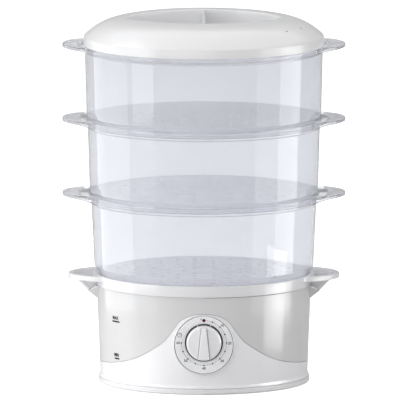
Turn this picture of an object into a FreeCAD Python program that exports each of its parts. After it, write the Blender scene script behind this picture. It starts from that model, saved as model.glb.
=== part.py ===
import FreeCAD, Part
import math
import os

os.makedirs("parts", exist_ok=True)
V = FreeCAD.Vector

# Electric food steamer: a round base with a water tank, a drip tray, three
# stacked baskets and a lid. Millimetres, +Z up, front towards -Y.

# ---------------------------------------------------------------- dimensions
# base
FOOT_OUT = 0.8            # how far the rubber feet stand out below the foot ring
R_LOW, Z_LOW = 112.0, 10.0    # base wall radius just above the foot ring
R_TOP, Z_TOP = 115.0, 106.1   # base wall radius and height at the rim
Z_STRAIGHT = 87.0         # the wall is straight above this height
WALL_H = 2.5              # lower housing wall
WALL_T = 4.4              # tank wall and housing wall together
TANK_FLOOR = (24.0, 26.5)
BACK_LINE = 22.0          # level of the housing's upper edge round the back

# wave-shaped upper edge of the lower housing, seen from the front (x, z)
WAVE = [(0, 88.0), (8, 87.7), (15, 86.2), (21.5, 83.4), (27, 79.0), (31.2, 73.2),
        (36.0, 66.2), (42.5, 58.2), (49.3, 52.4), (57.5, 46.6), (69.0, 39.2),
        (77.4, 34.9), (87.3, 31.0), (97.0, 28.0), (106.0, 25.4), (115.6, BACK_LINE)]

# dial and knob
PLATE_Z = 55.0             # middle of the dial plate and its boss
DIAL_Z = 57.4              # axis of the timer and of the printed scale
DIAL_R = 31.3             # dial plate radius
BOSS_R = 32.7
BOSS_Y = -116.8           # front of the boss rim
PLATE_Y = (-117.0, -114.4)
KNOB_R = 18.9
KNOB_Y = (-115.0, -124.4, -129.6)   # back, face, top of the ridge
SHAFT_R = 3.0
WELL_R = 20.5

# timer
CASE_HALF = 21.0
CASE_Y = (-105.5, -79.0)
GEAR_M = 0.75
GEAR_Z1, GEAR_Z2 = 32, 12
GEAR_Y = (-98.0, -94.0)

# front compartment of the tank
NICHE_X, NICHE_Y, NICHE_Z = 36.0, -62.0, 90.0

# heater
HEAT_R = 27.0
HEAT_Z = (18.0, 48.0)

# drip tray
COLLAR_R, COLLAR_IN = 116.6, 114.9
COLLAR_Z = (106.25, 118.3)
TRAY_LEDGE = 112.0
TRAY_HANDLE_TIP, TRAY_HANDLE_ROOT = 146.5, 45.0
TRAY_HANDLE_Z = (112.8, 118.3)

# baskets: foot z, foot r, wall bottom r, wall top r, rim bottom z, rim top z, rim r
BASKETS = {
    "basket_1": (112.2, 114.5, 118.3, 121.5, 195.6, 205.6, 124.7),
    "basket_2": (197.9, 122.0, 123.3, 125.3, 277.5, 287.3, 128.0),
    "basket_3": (279.9, 125.2, 126.7, 128.4, 359.5, 368.4, 129.3),
}
EAR_TIP, EAR_ROOT = 152.8, 48.0
EAR_TOP = {"basket_1": 206.4, "basket_2": 287.3, "basket_3": 367.8}
EAR_GUTTER = {"basket_1": 204.8, "basket_2": 285.7, "basket_3": 365.6}
STEP_R = 134.4            # step from the gutter up to the ear's plate
WALL_B = 2.0
FLOOR_HOLE_R = 3.0
FLOOR_RINGS = [(22, 6), (40, 12), (58, 18), (76, 24), (94, 30)]

# lid
LID_PROFILE = [(130.0, 366.0), (129.6, 374.6), (128.8, 376.8), (123.8, 380.5),
               (118.2, 384.7), (113.0, 388.4), (108.8, 390.3), (99.8, 393.3),
               (90.0, 394.6), (75.0, 395.6), (55.0, 396.4), (30.0, 396.9), (0.0, 397.0)]
LID_T = 2.2
WELL_HALF_X, WELL_HALF_Y, WELL_FLOOR = 84.5, 58.0, 377.2
RIDGE_HALF = 1.8


# ------------------------------------------------------------------ helpers
def wire2(pts, place):
    """Closed wire of straight runs with rounded corners. pts: (u, v[, radius])."""
    n = len(pts)
    P = [V(p[0], p[1], 0) for p in pts]
    F = [p[2] if len(p) > 2 else 0.0 for p in pts]
    starts, ends, arcs = [], [], []
    for i in range(n):
        a, b, c = P[i - 1], P[i], P[(i + 1) % n]
        f = F[i]
        if f <= 0:
            starts.append(b)
            ends.append(b)
            arcs.append(None)
            continue
        u, w = (a - b).normalize(), (c - b).normalize()
        ang = u.getAngle(w)
        d = f / math.tan(ang / 2)
        s, e = b + u * d, b + w * d
        bis = (u + w).normalize()
        mid = b + bis * (f / math.sin(ang / 2) - f)
        starts.append(s)
        ends.append(e)
        arcs.append((s, mid, e))
    edges = []
    for i in range(n):
        if arcs[i]:
            s, m, e = arcs[i]
            edges.append(Part.Arc(place(s), place(m), place(e)).toShape())
        j = (i + 1) % n
        if (ends[i] - starts[j]).Length > 1e-6:
            edges.append(Part.LineSegment(place(ends[i]), place(starts[j])).toShape())
    return Part.Wire(edges)


def rev(pts):
    """Solid of revolution about Z from (r, z) points."""
    w = wire2(pts, lambda p: V(p.x, 0, p.y))
    return Part.Face(w).revolve(V(0, 0, 0), V(0, 0, 1), 360)


def rev_y(pts, x=0.0, z=0.0):
    """Solid of revolution about a line along Y from (r, y) points."""
    w = wire2(pts, lambda p: V(x + p.x, p.y, z))
    return Part.Face(w).revolve(V(x, 0, z), V(0, 1, 0), 360)


def prism_z(pts, z0, z1):
    w = wire2(pts, lambda p: V(p.x, p.y, z0))
    return Part.Face(w).extrude(V(0, 0, z1 - z0))


def prism_y(pts, y0, y1):
    w = wire2(pts, lambda p: V(p.x, y0, p.y))
    return Part.Face(w).extrude(V(0, y1 - y0, 0))


def cyl(r, z0, z1, x=0.0, y=0.0):
    return Part.makeCylinder(r, z1 - z0, V(x, y, z0), V(0, 0, 1))


def cyl_y(r, y0, y1, x=0.0, z=0.0):
    lo, hi = min(y0, y1), max(y0, y1)
    return Part.makeCylinder(r, hi - lo, V(x, lo, z), V(0, 1, 0))


def box(x0, x1, y0, y1, z0, z1):
    return Part.makeBox(x1 - x0, y1 - y0, z1 - z0, V(x0, y0, z0))


def fuse(a, *rest):
    out = a.fuse(list(rest)) if rest else a
    return out.removeSplitter()


def cut(a, *rest):
    return a.cut(list(rest))


def mirror_x(s):
    return s.mirror(V(0, 0, 0), V(1, 0, 0))


def turned(s, deg, axis=(0, 0, 1), at=(0, 0, 0)):
    c = s.copy()
    c.rotate(V(*at), V(*axis), deg)
    return c


def wall_r(z):
    if z >= Z_STRAIGHT:
        return R_TOP
    return R_LOW + (R_TOP - R_LOW) * (z - Z_LOW) / (Z_STRAIGHT - Z_LOW)


def tube(points, bend, r):
    """Round tube along straight runs joined by tangent arcs."""
    P = [V(*p) for p in points]
    edges, last = [], P[0]
    for i in range(1, len(P) - 1):
        a, b, c = P[i - 1], P[i], P[i + 1]
        u, w = (a - b).normalize(), (c - b).normalize()
        ang = u.getAngle(w)
        d = bend / math.tan(ang / 2)
        s, e = b + u * d, b + w * d
        mid = b + (u + w).normalize() * (bend / math.sin(ang / 2) - bend)
        edges.append(Part.LineSegment(last, s).toShape())
        edges.append(Part.Arc(s, mid, e).toShape())
        last = e
    edges.append(Part.LineSegment(last, P[-1]).toShape())
    path = Part.Wire(edges)
    ring = Part.Wire([Part.makeCircle(r, P[0], (P[1] - P[0]).normalize())])
    return path.makePipeShell([ring], True, False)


def screw(x, y, z_head, down, head_r, head_h, shank_r, length):
    """Pan head screw with a cross slot, along Z. down: shank runs towards -Z."""
    s = 1 if down else -1
    z1 = z_head + s * head_h
    head = cyl(head_r, min(z_head, z1), max(z_head, z1), x, y)
    z2 = z_head - s * length
    shank = cyl(shank_r, min(z_head, z2), max(z_head, z2), x, y)
    d = head_h * 0.5
    lo, hi = (z1 - d, z1 + 1) if down else (z1 - 1, z1 + d)
    c1 = box(x - head_r * .6, x + head_r * .6, y - .35, y + .35, lo, hi)
    c2 = box(x - .35, x + .35, y - head_r * .6, y + head_r * .6, lo, hi)
    return head.fuse(shank).cut([c1, c2])


def involute_gear(teeth, m, thick_share, bore, y0, y1, phase):
    """Spur gear about a line along Y through the origin. phase: angle of a tooth centre."""
    rp = m * teeth / 2
    ra = rp + 0.85 * m
    rf = rp - 1.2 * m
    al = math.radians(20)
    rb = rp * math.cos(al)

    def inv(r):
        if r <= rb:
            return 0.0
        t = math.sqrt((r / rb) ** 2 - 1)
        return t - math.atan(t)

    half_p = math.pi / teeth * thick_share     # half tooth angle on the pitch circle
    inv_p = inv(rp)
    radii = [max(rf, rb * 0.999)] + [max(rf, rb) + (ra - max(rf, rb)) * k / 4 for k in (1, 2, 3, 4)]
    pts = []
    for t in range(teeth):
        c = phase + 2 * math.pi * t / teeth
        side = [(r, half_p + inv_p - inv(r)) for r in radii]
        if rf < radii[0]:
            side = [(rf, side[0][1])] + side
        for r, h in side:
            pts.append((r * math.cos(c - h), r * math.sin(c - h)))
        for r, h in reversed(side):
            pts.append((r * math.cos(c + h), r * math.sin(c + h)))
    g = prism_y(pts, y0, y1)
    return g.cut(cyl_y(bore, y0 - 1, y1 + 1))


def save(name, shape):
    shape = shape.removeSplitter() if shape.ShapeType != "Compound" else shape
    ok = all(s.isValid() and s.Volume > 0 for s in shape.Solids)
    b = shape.BoundBox
    print("%-20s solids %d ok %s vol %.1f  x %.2f %.2f y %.2f %.2f z %.2f %.2f" % (
        name, len(shape.Solids), ok, shape.Volume / 1000,
        b.XMin, b.XMax, b.YMin, b.YMax, b.ZMin, b.ZMax))
    if len(shape.Solids) == 1:
        shape = shape.Solids[0]
    shape.exportStep("parts/%s.step" % name)
    return shape


def group(*shapes):
    return Part.makeCompound([s.Solids[0] for s in shapes])


def ear_outline(tip, root_half, rim_r, inner):
    """Outline of one side ear (x, y): S-curved sides that leave the rim at a tangent."""
    rx = math.sqrt(rim_r ** 2 - root_half ** 2)
    k = tip - rx
    pts = [V(rx, -root_half, 0), V(rx + 0.17 * k, -root_half * .915, 0),
           V(rx + .62 * k, -root_half * .69, 0), V(rx + .92 * k, -root_half * .34, 0),
           V(tip, 0, 0)]
    pts = pts + [V(p.x, -p.y, 0) for p in reversed(pts[:-1])]
    c = Part.BSplineCurve()
    t = V(root_half / rim_r, rx / rim_r, 0)
    c.interpolate(Points=pts, InitialTangent=t * 1.0, FinalTangent=V(-t.x, t.y, 0))
    e = c.toShape()
    a, b = V(inner, -root_half * .85, 0), V(inner, root_half * .85, 0)
    lines = [Part.LineSegment(pts[-1], b).toShape(), Part.LineSegment(b, a).toShape(),
             Part.LineSegment(a, pts[0]).toShape()]
    return Part.Wire([e] + lines)


# -------------------------------------------------------- wave volume (housing)
wave_pts = [V(-x, -131, z) for x, z in reversed(WAVE[1:])] + [V(x, -131, z) for x, z in WAVE]
wave_curve = Part.BSplineCurve()
wave_curve.interpolate(wave_pts)
w_edges = [wave_curve.toShape(),
           Part.LineSegment(wave_pts[-1], V(wave_pts[-1].x, -131, -5)).toShape(),
           Part.LineSegment(V(wave_pts[-1].x, -131, -5), V(wave_pts[0].x, -131, -5)).toShape(),
           Part.LineSegment(V(wave_pts[0].x, -131, -5), wave_pts[0]).toShape()]
below_front = Part.Face(Part.Wire(w_edges)).extrude(V(0, 131, 0))
below_back = box(-131, 131, 0, 131, -5, BACK_LINE)
below = below_front.fuse(below_back)

# ---------------------------------------------------------------- tank shell
top = Z_TOP
tank = rev([(R_LOW + (TANK_FLOOR[0] - Z_LOW) * 3 / 77, TANK_FLOOR[0]), (R_TOP, Z_STRAIGHT),
            (R_TOP, top, 0.8), (112.4, top, 0.5), (112.4, 99.4), (R_TOP - WALL_T, 99.4),
            (R_TOP - WALL_T, Z_STRAIGHT), (wall_r(TANK_FLOOR[1]) - WALL_T, TANK_FLOOR[1], 2.0),
            (HEAT_R + .5, TANK_FLOOR[1]), (HEAT_R + .5, TANK_FLOOR[0])])
skirt = rev([(wall_r(Z_LOW + 8) - WALL_T, 16), (wall_r(18) - WALL_T + 1.75, 16),
             (wall_r(24) - WALL_T + 1.75, 24.5), (wall_r(24) - WALL_T, 24.5)])
inside = rev([(0, 15), (wall_r(15) - 3, 15), (R_TOP - 3, Z_STRAIGHT), (R_TOP - 3, 99), (0, 99)])
niche_out = box(-NICHE_X - 2, NICHE_X + 2, -118, NICHE_Y + 2, TANK_FLOOR[0], NICHE_Z + 2)
niche_in = box(-NICHE_X, NICHE_X, -118, NICHE_Y, 15, NICHE_Z)
niche_cut = niche_in.common(rev([(0, 15), (wall_r(15) - WALL_T, 15), (R_TOP - WALL_T, Z_STRAIGHT),
                                 (R_TOP - WALL_T, 99), (0, 99)]))
tank = fuse(tank, skirt, niche_out.common(inside))
tank = cut(tank, niche_cut, cyl_y(31.95, -118, -90, 0, PLATE_Z))
envelope = rev([(wall_r(4) - WALL_H - .1, 4), (125, 4), (125, 92),
                (R_TOP - WALL_H - .1, 92), (R_TOP - WALL_H - .1, Z_STRAIGHT)])
tank = cut(tank, envelope.common(below))

# fill spouts: an open scoop welded to each side, over a window into the tank
def trapezoid(z, x0, x1, h0, h1):
    return Part.makePolygon([V(x0, -h0, z), V(x1, -h1, z), V(x1, h1, z), V(x0, h0, z), V(x0, -h0, z)])


slope = prism_y([(114.0, 105.9), (115.4, 105.4), (125.4, 99.1), (136.0, 99.1), (136.0, 110), (114.0, 110)], -40, 40)
scoop_out = Part.makeLoft([trapezoid(90.4, 112.8, 115.3, 7, 5), trapezoid(106.0, 112.8, 132.6, 24, 19)], True, True).cut([slope])
scoop_in = Part.makeLoft([trapezoid(92.4, 104, 115.0, 5.2, 3.6), trapezoid(107.0, 104, 131.8, 23.2, 18)], True, True)
spout = cut(scoop_out, cyl(R_TOP + .02, 80, 120), scoop_in).common(box(100, 140, -40, 40, 80, 105.6))
save("fill_spout_right", spout)
save("fill_spout_left", mirror_x(spout))
window = scoop_in.common(box(0, 200, -50, 50, 92.6, 99.2))
tank = cut(tank, window, mirror_x(window))

# screw bosses under the floor, for the bottom cover and for the heater clamp
cover_at = [(98 * math.cos(math.radians(a)), 98 * math.sin(math.radians(a))) for a in (40, 140, 220, 320)]
clamp_at = [(43 * math.cos(math.radians(a)), 43 * math.sin(math.radians(a))) for a in (90, 210, 330)]
bosses = [cyl(4.2, 5.4, 24.5, x, y) for x, y in cover_at] + [cyl(3.6, 18.0, 24.5, x, y) for x, y in clamp_at]
holes = [cyl(1.6, 5.0, 22.0, x, y) for x, y in cover_at] + [cyl(1.35, 17.5, 23.5, x, y) for x, y in clamp_at]
tank = fuse(tank, *bosses)
tank = cut(tank, box(-8.6, 8.6, 98, 113, 14, 22.2), *holes)
save("tank_shell", tank)

# ------------------------------------------------------------- lower housing
housing = rev([(113.4, 7.0, .4), (112.5, 8.4), (R_LOW, Z_LOW), (R_TOP, Z_STRAIGHT), (R_TOP, 95),
               (R_TOP - WALL_H, 95), (R_TOP - WALL_H, Z_STRAIGHT), (R_LOW - WALL_H, Z_LOW),
               (R_LOW - WALL_H, 7.0)])
housing = housing.common(below)
boss = cyl_y(BOSS_R, -109, BOSS_Y, 0, PLATE_Z).fuse(cyl_y(31.8, -106, BOSS_Y, 0, PLATE_Z))
boss = boss.cut([rev([(0, -5), (wall_r(-5) - WALL_H - .05, -5), (R_TOP - WALL_H - .05, Z_STRAIGHT),
                      (R_TOP - WALL_H - .05, 92), (0, 92)]).common(
    box(-40, 40, -130, -80, 0, 100)).cut(cyl_y(31.8, -130, -80, 0, PLATE_Z))])
housing = fuse(housing, boss)
housing = cut(housing,
              cyl_y(DIAL_R + .15, -118, PLATE_Y[1], 0, PLATE_Z),
              cyl_y(29.8, -112.2, -95, 0, PLATE_Z),
              cyl_y(6.2, -118, -100, 0, DIAL_Z))
posts = [cyl_y(3.6, -112.6, -107.0, s * 25, DIAL_Z) for s in (-1, 1)]
housing = fuse(housing, *posts)
housing = cut(housing, *[cyl_y(1.3, -112.4, -106, s * 25, DIAL_Z) for s in (-1, 1)])
housing = cut(housing, cyl_y(5.3, 100, 120, 0, 14.6))
save("lower_housing", housing)

# -------------------------------------------------------------- bottom cover
cover = rev([(0, 3.2), (108.5, 3.2), (109.4, FOOT_OUT, .4), (114.0, FOOT_OUT, .8), (114.0, 5.9, .8),
             (112.3, 6.2), (112.3, 6.9), (109.2, 6.9), (109.2, 13.0, .5), (107.3, 13.0, .5),
             (107.3, 5.4), (0, 5.4)])
slots = []
for ring_r, count in ((62, 16), (80, 20)):
    for k in range(count):
        a = 360.0 / count * k + 4.5
        slots.append(turned(box(ring_r - 6, ring_r + 6, -1.5, 1.5, 2, 7), a))
cover = cut(cover, *slots)
feet_at = [(98 * math.cos(math.radians(a)), 98 * math.sin(math.radians(a))) for a in (62, 118, 242, 298)]
cover = cut(cover, *([cyl(1.9, 2, 7, x, y) for x, y in cover_at] +
                     [cyl(3.6, 2, 4.0, x, y) for x, y in cover_at]))
cover = cut(cover, box(-8.2, 8.2, 100, 111.5, 6.95, 14))
cover = fuse(cover, *[cyl(9.5, 3.2, 6.6, x, y) for x, y in feet_at])
cover = cut(cover, *[cyl(7.05, 2, 5.0, x, y) for x, y in feet_at])
save("bottom_cover", cover)
save("rubber_feet", group(*[
    rev([(0, 0), (6.2, 0, .8), (7.0, 3.0), (7.0, 5.0), (0, 5.0)]).translate(V(x, y, 0)) for x, y in feet_at]))
save("cover_screws", group(*[screw(x, y, 4.0, False, 3.2, 0.75, 1.5, 15.0) for x, y in cover_at]))

# ---------------------------------------------------------------- cord gland
gy = wall_r(14.6)
save("cord_gland", rev_y([(3.6, gy - 9, .5), (6.6, gy - 9, .6), (6.6, gy - 3.1), (5.1, gy - 3.1),
                          (5.1, gy + .6), (6.9, gy + .6), (6.4, gy + 2.4, .7), (3.6, gy + 2.8, .6)], 0, 14.6))

# ------------------------------------------------------------ dial and knob
plate = rev_y([(0, PLATE_Y[1]), (0, PLATE_Y[0]), (DIAL_R, PLATE_Y[0], .35), (DIAL_R, PLATE_Y[1])], 0, PLATE_Z)
plate = cut(plate, rev_y([(0, -114.0), (WELL_R, -114.0), (WELL_R, -115.7), (WELL_R + 4.0, -118.3), (0, -118.3)], 0, DIAL_Z))
save("dial_plate", plate)

knob = rev_y([(0, KNOB_Y[1]), (KNOB_R - 1.6, KNOB_Y[1] + .25, 1.2), (KNOB_R, KNOB_Y[1] + 1.8, .6),
              (KNOB_R, KNOB_Y[0]), (KNOB_R - 1.6, KNOB_Y[0]), (KNOB_R - 1.8, KNOB_Y[1] + 2.4),
              (6.2, KNOB_Y[1] + 2.4), (5.9, KNOB_Y[0]), (0, KNOB_Y[0])], 0, DIAL_Z)
ridge = prism_y([(-2.3, DIAL_Z + 19.6), (2.3, DIAL_Z + 19.6), (6.6, DIAL_Z - 18.9), (-6.6, DIAL_Z - 18.9)],
                KNOB_Y[2], KNOB_Y[1] + 1.5).common(
    rev_y([(0, KNOB_Y[2]), (17.2, KNOB_Y[2], 2.0), (18.6, KNOB_Y[1] + 1.9), (0, KNOB_Y[1] + 1.9)], 0, DIAL_Z))
knob = fuse(knob, ridge)
knob = cut(knob, cyl_y(SHAFT_R + .02, -126.4, -114, 0, DIAL_Z))
save("timer_knob", knob)

shaft = rev_y([(0, -126.2), (SHAFT_R, -126.2, .4), (SHAFT_R, -92.0), (2.0, -92.0), (2.0, -78.3, .3), (0, -78.3)], 0, DIAL_Z)
save("timer_shaft", shaft)

# -------------------------------------------------------------------- timer
h, w = CASE_HALF, 1.5
case = prism_y([(-h, DIAL_Z - h, 4), (h, DIAL_Z - h, 4), (h, DIAL_Z + h, 4), (-h, DIAL_Z + h, 4)], CASE_Y[0], CASE_Y[1])
hi = h - w
case = cut(case, prism_y([(-hi, DIAL_Z - hi, 2.5), (hi, DIAL_Z - hi, 2.5), (hi, DIAL_Z + hi, 2.5), (-hi, DIAL_Z + hi, 2.5)],
                         CASE_Y[0] + w, CASE_Y[1] + 1),
           cyl_y(5.5, -107, -100, 0, DIAL_Z))
dist = GEAR_M * (GEAR_Z1 + GEAR_Z2) / 2
ang = math.radians(45)
PX, PZ = dist * math.cos(ang), DIAL_Z + dist * math.sin(ang)
case = cut(case, cyl_y(1.25, -107, -100, PX, PZ))
save("timer_case", case)
back = prism_y([(-h, DIAL_Z - h, 4), (h, DIAL_Z - h, 4), (h, DIAL_Z + h, 4), (-h, DIAL_Z + h, 4)], CASE_Y[1], CASE_Y[1] + 1.2)
back = fuse(back, cyl_y(3.0, CASE_Y[1] + 1.0, -70.4, -5, DIAL_Z + 3))
back = cut(back, cyl_y(2.05, -81, -77, 0, DIAL_Z), cyl_y(1.25, -81, -77, PX, PZ), cyl_y(1.15, -76.5, -69, -5, DIAL_Z + 3))
save("timer_back_plate", back)
bracket = prism_y([(-29, DIAL_Z - 7, 3), (29, DIAL_Z - 7, 3), (29, DIAL_Z + 7, 3), (-29, DIAL_Z + 7, 3)], -107.0, -105.5)
bracket = cut(bracket, cyl_y(5.6, -108, -105, 0, DIAL_Z), cyl_y(1.5, -108, -105, 25, DIAL_Z), cyl_y(1.5, -108, -105, -25, DIAL_Z))
bracket = cut(bracket, cyl_y(1.4, -108, -105, PX, PZ))
save("timer_bracket", bracket)
save("timer_bush", rev_y([(SHAFT_R + .05, -112.9, .2), (5.5, -112.9, .4), (5.5, -102.0), (6.8, -102.0), (6.8, -101.0),
                          (SHAFT_R + .05, -101.0)], 0, DIAL_Z))


def screw_y(x, z, y_head, head_r, head_h, shank_r, length):
    s = cyl_y(head_r, y_head, y_head + head_h, x, z).fuse(cyl_y(shank_r, y_head - length, y_head, x, z))
    return s.cut([box(x - head_r * .6, x + head_r * .6, y_head + head_h * .5, y_head + head_h + 1, z - .3, z + .3),
                  box(x - .3, x + .3, y_head + head_h * .5, y_head + head_h + 1, z - head_r * .6, z + head_r * .6)])


save("timer_screws", group(screw_y(25, DIAL_Z, -105.5, 2.8, 1.6, 1.25, 6.4), screw_y(-25, DIAL_Z, -105.5, 2.8, 1.6, 1.25, 6.4)))

# gears in mesh at rest: a tooth of the large gear points at the pinion, and a
# gap of the pinion points back at it
drive = involute_gear(GEAR_Z1, GEAR_M, 0.46, SHAFT_R + .02, GEAR_Y[0], GEAR_Y[1], ang)
drive.translate(V(0, 0, DIAL_Z))
hub = cyl_y(6.0, GEAR_Y[1], GEAR_Y[1] + 1.6, 0, DIAL_Z).cut(cyl_y(SHAFT_R + .02, -100, -90, 0, DIAL_Z))
drive = drive.fuse(hub)
save("timer_drive_gear", drive)
pin = involute_gear(GEAR_Z2, GEAR_M, 0.46, 1.22, GEAR_Y[0] - .3, GEAR_Y[1] + .3, ang + math.pi + math.pi / GEAR_Z2)
pin.translate(V(PX, 0, PZ))
save("timer_pinion", pin)
save("pinion_arbor", cyl_y(1.2, -105.3, -78.1, PX, PZ))

bx, bz = -5.0, DIAL_Z + 3
save("timer_bell", rev_y([(1.35, -70.3), (11.0, -70.3, 3.0), (14.2, -75.6), (15.1, -75.4), (12.0, -69.4, 4.0), (1.35, -69.4)], bx, bz))
save("bell_screw", screw_y(bx, bz, -69.4, 2.6, 1.6, 1.1, 6.4))
save("bell_striker", fuse(box(12.6, 15.4, -77.8, -76.8, DIAL_Z - 17, DIAL_Z - 4),
                          cyl_y(1.7, -77.8, -72.5, 14.0, DIAL_Z - 3.6)))

# ------------------------------------------------------------------- heater
hb = rev([(HEAT_R - 2.5, HEAT_Z[0]), (36.0, HEAT_Z[0]), (36.0, HEAT_Z[0] + 2.2), (HEAT_R, HEAT_Z[0] + 2.2, 1.0),
          (HEAT_R, HEAT_Z[1], 3.0), (0, HEAT_Z[1] + .01), (0, HEAT_Z[1] - 3.0), (HEAT_R - 2.5, HEAT_Z[1] - 3.0, 1.0)])
save("heater_body", hb)
save("heater_seal", rev([(HEAT_R + 1.1, 20.2), (35.5, 20.2), (35.5, 24.0), (HEAT_R + 1.1, 24.0)]))
ring = Part.makeTorus(16.5, 3.3, V(0, 0, 41.6), V(0, 0, 1))
ring = ring.cut(box(-5, 5, 0, 30, 35, 50))
cold = [cyl(2.4, 11.0, 41.6, s * 7.6, math.sqrt(16.5 ** 2 - 7.6 ** 2)) for s in (-1, 1)]
element = fuse(ring, *cold)
save("heating_element", element)
clamp = rev([(24.6, 16.2), (49.0, 16.2), (49.0, 18.0), (24.6, 18.0)])
clamp = cut(clamp, *[cyl(1.7, 15, 19, x, y) for x, y in clamp_at])
save("heater_clamp", clamp)
save("heater_screws", group(*[screw(x, y, 16.2, False, 3.0, 1.6, 1.25, 7.0) for x, y in clamp_at]))
save("thermostat", fuse(cyl(8.5, 39.0, 44.95), cyl(6.0, 34.0, 39.2), box(-9.5, -4.5, -2, 2, 30, 35), box(4.5, 9.5, -2, 2, 30, 35)))
save("thermal_fuse", turned(cyl(1.9, -6, 6).fuse(cyl(.5, -11, 11)), 90, (0, 1, 0)).translate(V(0, -14.0, 31)))

# ------------------------------------------------------- terminals and wires
tb = box(-16, 16, 62, 74, 5.4, 15.4)
tb = cut(tb, *[box(x - 3, x + 3, 64, 72, 11.4, 16) for x in (-10, 0, 10)])
save("terminal_block", tb)
wires = [
    tube([(-7.6, 61.95, 6.8), (-7.6, 14.65, 6.8), (-7.6, 14.65, 10.95)], 2.6, 1.0),
    tube([(7.6, 61.95, 6.8), (7.6, 14.65, 6.8), (7.6, 14.65, 10.95)], 2.6, 1.0),
    tube([(0, 61.95, 8.6), (0, 40, 8.6), (20, -50, 8.6), (24.5, -90, 8.6), (24.5, -90, 40)], 6.0, 1.0),
    tube([(0, 74.05, 9.0), (0, 86, 9.0), (0, 92, 14.6), (0, 103, 14.6)], 5.0, 1.6),
]
save("inner_wires", group(*wires))

# --------------------------------------------------------------- steam ring
sr = rev([(46.0, 26.8), (46.0, 60, 6), (38.0, 76, 4), (38.0, 84.0, .6), (36.0, 84.0, .6), (36.0, 75.3, 4),
          (44.0, 59.3, 6), (44.0, 26.8)])
sr = cut(sr, *[turned(prism_y([(-6, 20), (6, 20), (6, 31, 3), (0, 35, 3), (-6, 31, 3)], -60, -30), a) for a in (0, 60, 120, 180, 240, 300)])
save("steam_ring", sr)

# ---------------------------------------------------------------- drip tray
T0 = TRAY_LEDGE
tray = rev([(COLLAR_R, COLLAR_Z[0], .4), (COLLAR_R, COLLAR_Z[1], .7), (COLLAR_IN, COLLAR_Z[1], .6), (COLLAR_IN, T0),
            (110.2, T0, .6), (109.6, 101.6, 2.0), (36.0, 102.4, 1.5), (34.2, 109.0, .6), (32.4, 109.0, .6),
            (32.4, 99.9, .4), (112.05, 99.7, 1.0), (112.05, COLLAR_Z[0])])
cap = rev([(0, 112.8), (36.5, 112.8, .4), (37.5, 110.6), (38.6, 110.9), (37.8, 114.3, 1.0), (0, 114.6)])
ribs = [turned(box(30.0, 34.0, -1.0, 1.0, 100.5, 113.2), a) for a in (45, 135, 225, 315)]
ribs = [r.cut([cyl(29.0, 90, 120)]) for r in ribs]
tray = fuse(tray, cap, *ribs)
outer = Part.Face(ear_outline(TRAY_HANDLE_TIP, TRAY_HANDLE_ROOT, COLLAR_R, 108)).extrude(V(0, 0, TRAY_HANDLE_Z[1] - TRAY_HANDLE_Z[0]))
outer.translate(V(0, 0, TRAY_HANDLE_Z[0]))
outer = outer.cut([cyl(COLLAR_IN + .6, 100, 125)])
inner = Part.Face(ear_outline(TRAY_HANDLE_TIP - 7.0, TRAY_HANDLE_ROOT - 12.5, COLLAR_R, 108)).extrude(V(0, 0, 20))
inner.translate(V(0, 0, TRAY_HANDLE_Z[0] - 5))
inner = inner.cut([cyl(COLLAR_R + 3.4, 100, 140)])
inner = inner.common(box(100, 160, -30, 30, 100, 140))
handle = outer.cut([inner])
chute = prism_y([(136.0, 114.0), (137.2, 114.0), (137.2, 112.8), (125.2, 100.4), (123.6, 100.4), (123.6, 101.2)], -15, 15)
cheek = [(116.2, 113.5), (135.6, 113.5), (124.6, 101.9), (123.8, 101.2), (116.2, 106.2)]
handle = handle.fuse([chute, prism_y(cheek, -14.0, -12.6), prism_y(cheek, 12.6, 14.0)])
tray = fuse(tray, handle, mirror_x(handle))
slits = [turned(box(112.9, 118.0, -.75, .75, 105.0, 110.8), a) for a in (-15.6, 15.6, 164.4, 195.6)]
tray = cut(tray, *slits)
save("drip_tray", tray)

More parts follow.
